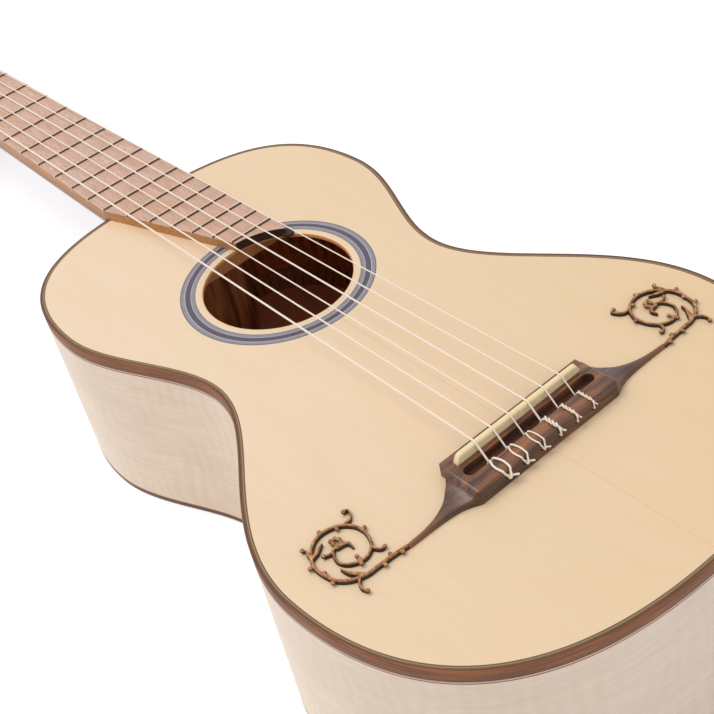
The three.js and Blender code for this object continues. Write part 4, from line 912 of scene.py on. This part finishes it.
# Fingerboard: tilts with the neck, lies flat over the top, and is hollowed round the soundhole
board = {"length": neck["nutY"] - neck["jointY"], "scale": 650, "frets": 18, "thick": 6.5, "gap": 0.1,
         "endRadius": 40.8, "bassTip": 2, "corner": 1, "endSteps": 40, "endBand": 1.6,
         "slotLong": 70, "slotHalf": 0.4, "slotDeep": 1.9}
fretLook = {"crown": 2.2, "high": 1.1, "tang": 0.6, "deep": 1.8, "inset": 0.12, "round": 8, "bulge": 0.8,
            "endSlope": 0.5, "endHigh": 0.3, "seat": 0.02, "proud": 0.05}


def fretAt(n):
    return board["length"] - board["scale"] * (1 - 2 ** (-n / 12))


def arcAt(x):
    return sqrt(board["endRadius"] ** 2 - x * x) - joint


def halfAt(y):
    return boardHalfAt(joint + y)


tip = arcAt(board["bassTip"])


def bassEdgeAt(y):
    return lerp(-halfAt(0), board["bassTip"], y / tip) if y < 0 else -halfAt(y)


# A place on the board: across, along from the joint towards the nut, and up from the neck's top
def onBoard(x, y, z):
    return Vector((x, joint + y * cos(tilt) - z * sin(tilt),
                   depth + y * sin(tilt) + z * cos(tilt)))


def boardPlan():
    arcEnd, radius = halfAt(tip) - board["corner"], board["corner"]
    cornerY = arcAt(arcEnd) + radius
    arc = [lerp(board["bassTip"], arcEnd, s) for s in shares(board["endSteps"])]
    corner = [(arcEnd + radius * sin(quarter * s), cornerY - radius * cos(quarter * s))
              for s in shares(6)[1:]]
    return [(-halfAt(board["length"]), board["length"]), (-halfAt(0), 0), *[(x, arcAt(x)) for x in arc],
            *corner, (halfAt(0), 0), (halfAt(board["length"]), board["length"])]


plan = boardPlan()
under = [onBoard(x, y, board["gap"] - min(y, 0) * tan(tilt)) for x, y in plan]
bm = skin([under, [onBoard(x, y, board["thick"]) for x, y in plan]])
fold = [v for v in bm.verts if abs(v.co.y - joint) < 0.05 and v.co.z < depth + 1]
bmesh.ops.connect_verts(bm, verts=fold)
slots = bmesh.new()
for n in range(1, board["frets"] + 1):
    for v in bmesh.ops.create_cube(slots, size=1)["verts"]:
        v.co = onBoard(v.co.x * board["slotLong"], fretAt(n) + v.co.y * 2 * board["slotHalf"],
                       board["thick"] + v.co.z * 2 * board["slotDeep"])
piece = worked(link(bm, "fingerboard_slotted"), [slots])
for face in piece.data.polygons:  # end grain round the hole, then the sides, then the top
    middle, normal = Vector(face.center) / mm, face.normal
    atEnd = middle.xy.length < board["endRadius"] + board["endBand"] and abs(normal.z) < 0.5
    face.material_index = 2 if atEnd else 1 if abs(normal.x) > 0.5 else 0
woods = [boardWood, boardEdgeWood, darkEndAndShadow]
finish(piece, woods, ["fingerboard"], bevel=0.12, smooth=35)

# A near black rounded sheet on the top beyond the board's treble corner: painted shadow of the board
lobe = {"outline": [(27.4, 34), (27.4, 28.5), (28.8, 26.4), (31, 25.6), (33.2, 26.6), (34.2, 29),
                    (33.8, 31.6), (32, 33.6)], "low": 111.1, "high": 113}
edge = smoothRun([Vector((*p, 0)) for p in [*lobe["outline"], lobe["outline"][0]]], 0.5)[:-1]
bm = raised([p.xy for p in edge], lobe["low"], lobe["high"])
finish(link(bm, "board_corner_painted_shadow"), darkEndAndShadow, ["fingerboard"], bevel=0.5)


# A rounded crown with sloped ends, and a tang that shows at the board's edge
def crownedFret(n):
    y, seat = fretAt(n), board["thick"] + fretLook["seat"]
    left, right = bassEdgeAt(y), halfAt(y)
    start, end, slope = left + fretLook["inset"], right - fretLook["inset"], fretLook["endSlope"]
    ends = ((start, fretLook["endHigh"]), (start + slope, 1), (end - slope, 1), (end, fretLook["endHigh"]))
    rows, marks = [], []
    for x, tall in ends:
        arc = [(fretLook["crown"] / 2 * u, fretLook["high"] * tall * v ** fretLook["bulge"])
               for u, v in arch(fretLook["round"])]
        rows.append([onBoard(x, y + across, seat + up) for across, up in arc])
        marks.append([Vector((x, across, up)) for across, up in arc])
    bm = skin(rows, marks)
    half, proud = fretLook["tang"] / 2, fretLook["proud"]
    tang = bmesh.ops.create_cube(bm, size=1)["verts"]
    layer = bm.verts.layers.float_vector["place"]
    for v in tang:
        v[layer] = (0, -half, 0)
        v.co = onBoard(lerp(left - proud, right + proud, v.co.x + 0.5), y + v.co.y * 2 * half,
                       seat - fretLook["deep"] * (0.5 - v.co.z))
    bmesh.ops.recalc_face_normals(bm, faces=bm.faces)
    return bm


for n in range(1, board["frets"] + 1):
    piece = link(crownedFret(n), f"fret_{n}_crowned")
    finish(piece, nickelSilver, [f"fret_{n}"], smooth=50)
print("neck and fingerboard built")

# Head: leans back from the nut, with soft lobes and six tapered holes
head = {"lean": radians(12), "y": shaftEnd + neck["gap"], "z": neckTopAt(shaftEnd) - neck["gap"],
        "thick": 15, "length": 162, "root": 23.5, "lower": (36, 44), "waist": (28.5, 93),
        "upper": (31.5, 127), "steps": 14}
pegLook = {"rises": [42, 80, 118], "sideways": [23, 20, 17], "tip": 3.5, "back": 4.4, "tipRise": 17,
           "gap": 0.1, "round": 40, "hole": 11.5, "holeRadius": 1,
           "thumb": {"wide": 21, "thick": 7, "tall": 17, "middle": -31.1, "dish": 0.35, "flare": 0.12}}
taper = (pegLook["back"] - pegLook["tip"]) / (pegLook["tipRise"] + head["thick"])


# A place on the head: across, along from its foot, and up from its face
def inHead(x, y, z):
    lean = head["lean"]
    return Vector((x, head["y"] + y * cos(lean) + z * sin(lean),
                   head["z"] - y * sin(lean) + z * cos(lean)))


def pegPlace(i):
    k = min(i, 5 - i)
    side = 1 if i < 3 else -1
    return side * pegLook["sideways"][k], pegLook["rises"][k], side


def pegRadiusAt(z):
    return pegLook["tip"] + taper * (pegLook["tipRise"] - z)


def headOutline():
    lower, waist, upper = (Vector(head[key]) for key in ("lower", "waist", "upper"))
    root, top = Vector((head["root"], 0)), head["length"]

    def bendTo(a, b, out, into):
        return a, Vector((a.x, lerp(a.y, b.y, out))), Vector((b.x, lerp(a.y, b.y, into))), b

    curves = [bendTo(root, lower, 1 / 3, 1 / 3), bendTo(lower, waist, 0.5, 0.5),
              bendTo(waist, upper, 0.5, 0.5),
              (upper, Vector((upper.x, (upper.y + top) / 2)), Vector((upper.x / 2, top)), Vector((0, top)))]
    line = [bezierPoint(curve, t)[0] for curve in curves for t in shares(head["steps"])[:-1]]
    treble = [Vector((head["root"], -head["thick"])), *line, Vector((0, top))]
    return [(p.x, p.y) for p in treble] + [(-p.x, p.y) for p in reversed(treble[:-1])]


bm = raised(headOutline(), -head["thick"], 0)
for v in bm.verts:
    v.co = inHead(*v.co)
cutBehind(bm, (0, head["y"], 0), (0, 1, 0))
holes = bmesh.new()
for i in range(6):
    x, y, _ = pegPlace(i)
    rows = []
    for z in (5, -20):  # past both faces
        radius = pegRadiusAt(z) + pegLook["gap"]
        rows.append([inHead(x + u, y + v, z) for u, v in circle(radius, pegLook["round"])])
    skin(rows, bm=holes)
piece = worked(link(bm, "head_bored"), [holes])
finish(piece, neckWood, ["head"], bevel=0.6, smooth=40, segments=3)

# Pegs: turned on a lathe, with a bead and a cove at the collar and a flattened thumb piece
pegProfile = [(0, 17), (3.1, 17), (3.5, 16.6), (4.4, -15), (4.42, -15.3), (6, -15.3), (6.25, -15.7),
              (6.25, -16.6), (5.9, -17), (5.4, -17.2), (5.4, -17.6), (5.7, -17.9), (5.5, -18.5), (4.6, -19.4),
              (3.9, -20.8), (3.45, -22.4), (3.4, -24), (3.5, -25.6), (2.6, -27.5), (0, -28.4)]


def turnedPeg(i):
    x, y, _ = pegPlace(i)
    shaft = spun(pegProfile, pegLook["round"])
    thumb, look = bmesh.new(), pegLook["thumb"]
    bmesh.ops.create_uvsphere(thumb, u_segments=32, v_segments=20, radius=0.5)
    for v in thumb.verts:  # pressed flat, dished on both faces, wider at its end
        dish = 1 - look["dish"] * cos(pi * v.co.x) ** 2 * abs(v.co.y) * 2
        v.co = Vector((v.co.x * look["wide"] * (1 - look["flare"] * v.co.z), v.co.y * look["thick"] * dish,
                       v.co.z * look["tall"] + look["middle"]))
    bore = skin([[Vector((u, end, pegLook["hole"] + v)) for u, v in circle(pegLook["holeRadius"], 16)]
                 for end in (-8, 8)])
    for drawn in (shaft, thumb, bore):
        for v in drawn.verts:
            v.co = inHead(x + v.co.x, y + v.co.y, v.co.z)
    return worked(worked(link(shaft, f"peg_{i + 1}_turned"), [thumb], "UNION"), [bore])


for i in range(6):
    finish(turnedPeg(i), pegWood, [f"peg_{i + 1}"], on=f"tuner_{i + 1}", smooth=40)
print("head and pegs built")

# The strings' places: thinnest on the treble side, spread evenly over nut and saddle
spread = {"nut": 20.3, "saddle": 28}
strings = [0.72, 0.82, 1.02, 0.78, 0.94, 1.14]  # diameters


def stringPlace(i):
    side = 1 - 2 * i / 5
    return side * spread["nut"], side * spread["saddle"]


# Bridge, from the saddle's line towards the tail: a block with a channel, and dished shoulders that thin
# out into the stems. A shoulder's front, rear and top are curves over the distance from the middle.
saddleY = neck["nutY"] - board["scale"]
bridge = {"half": 44.5, "front": 6, "rear": 21, "lean": 1.2, "height": 8, "eased": 0.3, "reach": 82.9,
          "holeRadius": 1.3, "holeHeight": 4.2, "above": 12,
          "channel": {"near": 4.6, "far": 11, "floor": 3, "half": 41.5},
          "slot": {"half": 40.1, "halfWide": 1.7, "seat": 4.1}}
shoulder = {
    "front": [(44.5, 3.2), (48.4, -1.8), (52.6, -5.3), (56, -8), (59.8, -9.9), (64.8, -11.7), (72, -13),
              (82.9, -13.5)],
    "rear": [(44.5, -21), (49.6, -18.4), (54, -16.9), (60, -16), (66, -15.6), (74, -15.4), (82.9, -15.2)],
    "top": [(44.5, 7.95), (45.6, 7.4), (46.2, 6.2), (47.2, 5.2), (48.9, 4.4), (54.5, 3.2), (66.5, 2.5),
            (82.9, 2.3)],
    "start": 0.05, "steps": 44, "crowded": 1.6, "stemLean": 0.3, "stemEased": 0.55, "trebleSweep": -1.1,
}


def readAt(line, x):
    after = next((i for i, p in enumerate(line) if p.x >= x), len(line) - 1)
    a, b = line[max(after - 1, 0)], line[after]
    return lerp(a.y, b.y, (x - a.x) / (b.x - a.x)) if b.x > a.x else a.y


edges = {key: smoothRun([Vector((*p, 0)) for p in shoulder[key]], 0.6) for key in ("front", "rear", "top")}


# One section of the bridge: foot, rear face, top and front, with the top's edges eased
def bridgeSection(x, front, rear, high, lean, eased):
    top, nip = rear + lean, eased * 0.3
    section = [(rear, 0), (lerp(rear, top, 0.5), high * 0.5), (top, high - eased), (top + nip, high - nip),
               (top + eased, high), (lerp(top, front, 0.5), high), (front - eased, high),
               (front - nip, high - nip), (front, high - eased), (front, high * 0.5), (front, 0)]
    return [Vector((x, saddleY + y, depth + z)) for y, z in section]


trebleRows = [bridgeSection(bridge["half"], bridge["front"], -bridge["rear"], bridge["height"],
                            bridge["lean"], bridge["eased"])]
for s in shares(shoulder["steps"]):
    x = lerp(bridge["half"] + shoulder["start"], bridge["reach"], s ** shoulder["crowded"])
    front, rear, high = (readAt(edges[key], x) for key in ("front", "rear", "top"))
    stem = min(s * 3, 1)
    trebleRows.append(bridgeSection(x, front, rear, high, lerp(bridge["lean"], shoulder["stemLean"], stem),
                                    lerp(bridge["eased"], shoulder["stemEased"], stem)))
bassRows = [[Vector((-p.x, p.y, p.z)) for p in row] for row in reversed(trebleRows)]
for row in trebleRows:  # the treble stem runs a little further towards the tail
    out = (row[0].x - bridge["half"]) / (bridge["reach"] - bridge["half"])
    for point in row:
        point.y += shoulder["trebleSweep"] * out

channel, slot, above = bridge["channel"], bridge["slot"], depth + bridge["above"]
radius, middle = (channel["far"] - channel["near"]) / 2, (channel["far"] + channel["near"]) / 2
end = [(channel["half"] - radius + radius * cos(a), -middle + radius * sin(a))
       for a in [pi * (s - 0.5) for s in shares(16)]]
groove = raised([(x, saddleY + y) for x, y in end + [(-x, y) for x, y in reversed(end)]],
                depth + channel["floor"], above)
corners = [(-1, -1), (1, -1), (1, 1), (-1, 1)]
bed = raised([(slot["half"] * x, saddleY + slot["halfWide"] * y) for x, y in corners], depth + slot["seat"],
             above)
holes = bmesh.new()
for i in range(6):
    x, height = stringPlace(i)[1], depth + bridge["holeHeight"]
    skin([[Vector((x + u, saddleY - y, height + v)) for u, v in circle(bridge["holeRadius"], 20)]
          for y in (9, 26)], bm=holes)  # from the channel out past the rear face
piece = worked(link(skin(bassRows + trebleRows), "tie_bridge"), [groove, bed, holes])
finish(piece, rosewoodBlock, ["bridge"], bevel=0.22, smooth=32)

# Saddle: a bone bar with a rounded crown and ends that slope down
saddle = {"half": 1.6, "foot": 4.2, "top": 13, "round": 12,
          "ends": [(40, 8.9), (39.6, 9.9), (38.7, 11.6), (38, 12.6), (37.2, 12.93), (36, 13)]}
half, rows = saddle["half"], []
for x, high in saddle["ends"] + [(-x, high) for x, high in reversed(saddle["ends"])]:
    crown = [(half * u, high - half + half * v) for u, v in arch(saddle["round"])]
    section = [(-half, saddle["foot"]), (half, saddle["foot"]), *crown]
    rows.append([Vector((x, saddleY + y, depth + z)) for y, z in section])
finish(link(skin(rows), "bone_saddle"), bone, ["saddle"], smooth=50)
print("bridge built")

# Carved scrolls: places are in eye radii from the scroll's middle, outwards first and to the head second
scroll = {
    "reach": 104.5, "rise": {"treble": 3.4, "bass": 5}, "radius": 14.8, "high": 2.6, "endHigh": 0.86,
    "voxel": 0.26, "seat": 0.02, "proud": 0.15,
    "back": [(1.1, -0.6), (0.98, 0.5), (0.72, 0.85), (0.35, 1), (-0.35, 1), (-0.72, 0.85), (-0.98, 0.5),
             (-1.1, -0.6)],
    "widths": {"vine": [1.7, 1.9, 1.7, 1.8, 1.6, 1.5, 1.3], "tendril": [1.5, 1.2, 1],
               "leaf": [1.4, 2.5, 1.8, 0.6], "stalk": [1.2, 1]},
    "balls": {"tendril": 1.15, "bud": 1.1, "petal": 1.15},
    "vine": [(-1.45, -1.29), (-0.97, -1.23), (-0.68, -1.22), (-0.33, -1.2), (0.01, -1.19), (0.28, -1.1),
             (0.55, -0.95), (0.77, -0.7), (0.86, -0.44), (0.91, -0.09), (0.89, 0.21), (0.75, 0.51),
             (0.53, 0.78), (0.28, 0.96), (-0.01, 1.04), (-0.3, 1.01), (-0.57, 0.9), (-0.8, 0.69),
             (-0.94, 0.43), (-0.98, 0.1), (-0.9, -0.22), (-0.76, -0.46), (-0.56, -0.62), (-0.34, -0.69),
             (-0.14, -0.66), (0.05, -0.57), (0.22, -0.41), (0.3, -0.19), (0.25, 0.05), (0.12, 0.24),
             (-0.07, 0.35)],
    "tendrils": [[(-0.75, 0.79), (-0.98, 0.8), (-1.14, 0.96), (-1.2, 1.17), (-1.06, 1.19)],
                 [(0.75, 0.57), (0.72, 0.74), (0.67, 0.88), (0.74, 0.96)],
                 [(0.27, -1.14), (0.39, -1.26), (0.47, -1.48), (0.41, -1.65)],
                 [(-0.74, -0.5), (-0.77, -0.66), (-0.88, -0.79), (-1.0, -0.79)]],
    "leaves": [[(0.01, -1.19), (0.21, -0.97), (0.36, -0.73), (0.43, -0.45)],
               [(0.72, 0.47), (0.51, 0.56), (0.31, 0.65), (0.16, 0.72)],
               [(0.0, 0.23), (-0.23, 0.23), (-0.37, 0.13), (-0.36, -0.12)]],
    "stalks": [[(0.12, 0.24), (0.27, 0.21), (0.44, 0.28)]],
    "buds": [(-1.08, 0.22), (-0.49, 0.81), (-0.05, 1.12), (1.02, 0.23), (0.83, -0.22), (0.9, -0.68),
             (-1.2, -1.36), (-0.91, -1.13), (-0.55, -1.33), (-0.21, -0.45), (-0.18, -0.61), (-0.12, -0.76),
             (0.46, 0.3)],
    "petals": [(-0.2, 0.57), (-0.28, 0.45), (-0.23, 0.3), (-0.04, 0.45), (-0.05, 0.58), (-0.03, 0.26)],
}


def inScroll(place):
    return Vector((scroll["reach"] + place[0] * scroll["radius"], saddleY + place[1] * scroll["radius"],
                   depth))


# A carved stroke: a bar with a broad rounded back, as wide as the widths say along its run
def stroke(places, kind, bm=None):
    line, widths = smoothRun([inScroll(p) for p in places], 0.7), scroll["widths"][kind]
    rows = []
    for i, point in enumerate(line):
        ahead = aheadAt(line, i)
        across = Vector((-ahead.y, ahead.x, 0))
        share = i / (len(line) - 1) * (len(widths) - 1)
        k = min(int(share), len(widths) - 2)
        half = lerp(widths[k], widths[k + 1], share - k) / 2
        tall = scroll["high"] * lerp(1, scroll["endHigh"], i / len(line))
        rows.append([point + across * (out * half) + Vector((0, 0, up * tall)) for out, up in scroll["back"]])
    return skin(rows, bm=bm)


def ball(bm, place, kind):
    radius = scroll["balls"][kind]
    rise = Vector((0, 0, scroll["high"] + scroll["proud"] - radius))
    made = bmesh.ops.create_icosphere(bm, subdivisions=3, radius=radius)["verts"]
    bmesh.ops.translate(bm, vec=inScroll(place) + rise, verts=made)


def carvedScroll(name, side):
    bm = stroke(scroll["vine"], "vine")
    for places in scroll["tendrils"]:
        stroke(places, "tendril", bm)
        ball(bm, places[-1], "tendril")
    for places in scroll["leaves"]:
        stroke(places, "leaf", bm)
    for places in scroll["stalks"]:
        stroke(places, "stalk", bm)
    for kind in ("bud", "petal"):
        for place in scroll[kind + "s"]:
            ball(bm, place, kind)
    piece = link(bm, f"scroll_{name}_carved")
    melt = piece.modifiers.new("one wood", "REMESH")
    melt.mode, melt.voxel_size = "VOXEL", scroll["voxel"] * mm
    ease = piece.modifiers.new("sanded", "SMOOTH")
    ease.factor, ease.iterations = 0.5, 3
    settle(piece)
    bm = bmesh.new()
    bm.from_mesh(piece.data)
    bmesh.ops.translate(bm, vec=(0, scroll["rise"][name] * mm, 0), verts=bm.verts)
    bmesh.ops.scale(bm, vec=(side, 1, 1), verts=bm.verts)
    cutBehind(bm, (0, 0, (depth + scroll["seat"]) * mm), (0, 0, 1))
    bm.to_mesh(piece.data)
    bm.free()
    return piece


for name, side in sides.items():
    finish(carvedScroll(name, side), carvedWood, [f"scroll_{name}"], smooth=60)
print("scrolls carved")

# Strings: wound on the pegs, over nut and saddle, and tied round the bridge's tie block
tie = {"gap": 0.04, "strand": 0.08, "wrap": radians(48), "twistTurns": 1.75, "twistRound": 0.54,
       "twistSteps": 28, "stringSides": 12, "windTurns": 2.75, "windRise": 4.2, "windGap": 0.8,
       "windSteps": 66, "overNut": 7.85, "beforeNut": 2.5, "pastNut": 5}
# Rows of a tie are (the face it lies on, across in strands, along the face, off the face in strands)
simpleTie = [("rear", 0.1, 0, 0.9), ("rear", 0.6, 0.25, 1.1), ("rear", 1.25, 0.7, 0.3),
             ("rear", 1.7, 1.1, -0.1), ("top", 2, 0.82, 0), ("top", 2.15, 0.55, 0), ("top", 1.8, 0.27, 0),
             ("top", 0.9, 0, 0), ("front", 0.75, 0.7, 0.2), ("channel", 0.7, 0.66, 0.9),
             ("channel", 0, 0.6, 0.6), ("channel", -0.7, 0.66, 0.9), ("front", -0.75, 0.7, 0.2),
             ("top", -0.9, 0, 0), ("top", -1.8, 0.27, 0), ("top", -2.15, 0.55, 0), ("top", -2, 0.82, 0),
             ("rear", -1.7, 1.1, -0.1), ("rear", -1.2, 0.7, 0), ("rear", -0.4, 0.35, 0),
             ("rear", 0.5, 0.15, 0), ("rear", 1.4, 0.1, 0.5), ("rear", 2.4, 0.1, 1.3),
             ("rear", 3.4, 0.1, 2.2)]
twistStart = [("rear", 0, 0.3, 0.3), ("rear", 0, 0.9, 0.4)]
twistLoop = [("front", 0.95, 0.7, 0.2), ("channel", 0.8, 0.66, 0.9), ("channel", 0, 0.6, 0.6),
             ("channel", -0.8, 0.66, 0.9), ("front", -0.95, 0.75, 0.2)]
twistTail = [("rear", 0.6, 0.95, 0.3), ("rear", 1.3, 0.6, 0.1), ("rear", 2.6, 0.3, 0.6)]


def atBridge(i, across, drop, height):
    return Vector((stringPlace(i)[1] + across, saddleY - drop, depth + height))


# One point of a tie, from the face it lies on
def tieSpot(i, radius, row):
    face, across, along, lift = row
    strand = 2 * radius + tie["strand"]
    off, side = tie["gap"] + radius + lift * strand, across * strand
    up = lerp(bridge["holeHeight"], bridge["height"], along)
    near, far = channel["near"], channel["far"]
    leaning = bridge["rear"] - bridge["lean"] * up / bridge["height"]
    if face == "rear":
        return atBridge(i, side, leaning + off, up)
    if face == "top":
        return atBridge(i, side, lerp(far, bridge["rear"] - bridge["lean"], along), bridge["height"] + off)
    if face == "front":
        return atBridge(i, side, far - off, up)
    return atBridge(i, side, lerp(near, far, along), channel["floor"] + off)


# The braid of two strands on top of the tie block; the second strand lies half a turn from the first
def braid(i, radius, phase):
    far, rear = channel["far"] + 0.3, bridge["rear"] - bridge["lean"] - 0.6
    swing = (2 * radius + tie["strand"]) * tie["twistRound"]
    middle = bridge["height"] + tie["gap"] + radius + swing
    line = []
    for s in shares(tie["twistSteps"]):
        turn, drop = 2 * pi * tie["twistTurns"] * s + phase, lerp(far, rear, s)
        line.append(atBridge(i, swing * cos(turn), drop, middle + swing * sin(turn)))
    return line


def tieRoute(i, radius):
    far, up = channel["far"], bridge["holeHeight"]
    through = [atBridge(i, 0, far - 2 * radius, up + radius), atBridge(i, 0, far + radius, up),
               atBridge(i, 0, bridge["rear"], up)]

    def spots(rows):
        return [tieSpot(i, radius, row) for row in rows]

    if i >= 3:
        return through + spots(simpleTie)
    return (through + spots(twistStart) + braid(i, radius, 0.4)[::-1] + spots(twistLoop)
            + braid(i, radius, 0.4 + pi) + spots(twistTail))


# Round the peg away from the head's face, then bent into the mouth of the peg's hole
def windingRoute(i, radius):
    x, y, side = pegPlace(i)
    pitch = 2 * radius + tie["windGap"]

    def off(z):
        return pegRadiusAt(z) + tie["gap"] + radius

    line = []
    for s in shares(tie["windSteps"])[:-1]:
        turn = 2 * pi * tie["windTurns"] * s
        z = tie["windRise"] + pitch * tie["windTurns"] * s
        line.append(inHead(x - side * off(z) * cos(turn), y + off(z) * sin(turn), z))
    mouth, last, bow = off(pegLook["hole"]), tie["windRise"] + pitch * tie["windTurns"], 2 * radius + 0.3
    for out, down, up in ((0.9, 0.45, 0.6), (0.25, 0.75, 0.9), (0, 0.3, 1)):
        line.append(inHead(x + side * bow * out, y - mouth - bow * down, lerp(last, pegLook["hole"], up)))
    return [*line, inHead(x, y - mouth + radius, pegLook["hole"])]


# A string's whole run: off its peg, over the nut and the saddle, and into its tie
def stringRoute(i, radius):
    nutX, saddleX = stringPlace(i)
    height, past = neckTopAt(neck["nutY"]) + tie["overNut"], tie["pastNut"]
    overNut = [Vector((nutX, neck["nutY"] + tie["beforeNut"], height)),
               Vector((lerp(nutX, saddleX, past / board["scale"]), neck["nutY"] - past, height))]
    bow, crown = saddle["half"] + tie["gap"] + radius, saddle["top"] - saddle["half"]
    overSaddle = [atBridge(i, 0, bow * sin(tie["wrap"] * s), crown + bow * cos(tie["wrap"] * s))
                  for s in shares(6)]
    tied = smoothRun([overSaddle[-1], *tieRoute(i, radius)], 0.3)
    return [*smoothRun(windingRoute(i, radius)[::-1], 0.5), *overNut, *overSaddle[:-1], *tied]


for i, diameter in enumerate(strings):
    drawn = cord(stringRoute(i, diameter / 2), diameter / 2, tie["stringSides"])
    finish(link(drawn, f"string_{i + 1}_drawn"), nylon, [f"string_{i + 1}"], smooth=70)
print("strings tied")

# Floor and light
stageLook = {"floorSize": 12, "floorTone": "f4f4f4", "glow": 0.4, "skyTone": "f2f4ff", "sky": 0.6,
             "aim": Vector((0, -0.05, 0.1))}


# 1 for what the lens sees straight, in a shine or through something clear
def seenRays(tree):
    rays = put(tree, "LightPath").outputs
    seen = put(tree, "Math", {0: rays["Is Camera Ray"], 1: rays["Is Glossy Ray"]}, operation="MAXIMUM")
    return put(tree, "Math", {0: seen.outputs[0], 1: rays["Is Transmission Ray"]},
               operation="MAXIMUM").outputs[0]


# Pale floor that lifts towards white where it is seen, and is clear from below
def floorMaterial():
    material, tree = newMaterial("pale_studio_floor")
    seen = seenRays(tree)
    matte = put(tree, "BsdfDiffuse", {"Color": colour(stageLook["floorTone"])}).outputs[0]
    glow = put(tree, "Emission", {"Color": (1, 1, 1, 1), "Strength": stageLook["glow"]}).outputs[0]
    both = put(tree, "AddShader", {0: matte, 1: glow}).outputs[0]
    shown = put(tree, "MixShader", {0: seen, 1: matte, 2: both}).outputs[0]
    under = put(tree, "NewGeometry").outputs["Backfacing"]
    hidden = put(tree, "Math", {0: under, 1: seen}, operation="MULTIPLY").outputs[0]
    clear = put(tree, "BsdfTransparent").outputs[0]
    surface = put(tree, "MixShader", {0: hidden, 1: shown, 2: clear}).outputs[0]
    put(tree, "OutputMaterial", {"Surface": surface})
    return material


bm = bmesh.new()
bmesh.ops.create_grid(bm, x_segments=1, y_segments=1, size=stageLook["floorSize"] / 2)
floorMesh = bpy.data.meshes.new("floor")
bm.to_mesh(floorMesh)
bm.free()
floorMesh.materials.append(floorMaterial())
floor = bpy.data.objects.new("floor", floorMesh)
scene.collection.objects.link(floor)

world = bpy.data.worlds.new("studio")
scene.world = world
world.use_nodes = True
tree = world.node_tree
tree.nodes.clear()
soft = put(tree, "Background", {"Color": colour(stageLook["skyTone"]), "Strength": stageLook["sky"]})
white = put(tree, "Background", {"Color": (1, 1, 1, 1), "Strength": 1})
mixed = put(tree, "MixShader", {0: seenRays(tree), 1: soft.outputs[0], 2: white.outputs[0]})
put(tree, "OutputWorld", {"Surface": mixed.outputs[0]})

lamps = {
    "key": {"place": (-0.75, 0.6, 2.1), "size": 1.4, "power": 24, "tone": "fff6ea"},
    "fill": {"place": (-0.4, -1.9, 1.3), "size": 1.6, "power": 5, "tone": "f4f6ff"},
}
for name, lamp in lamps.items():
    data = bpy.data.lights.new(name, "AREA")
    data.size, data.energy, data.color = lamp["size"], lamp["power"], colour(lamp["tone"])[:3]
    holder = bpy.data.objects.new(name, data)
    holder.location = lamp["place"]
    holder.rotation_euler = (stageLook["aim"] - holder.location).to_track_quat("-Z", "Y").to_euler()
    scene.collection.objects.link(holder)
scene.view_settings.view_transform = "Standard"
print("stage lit")
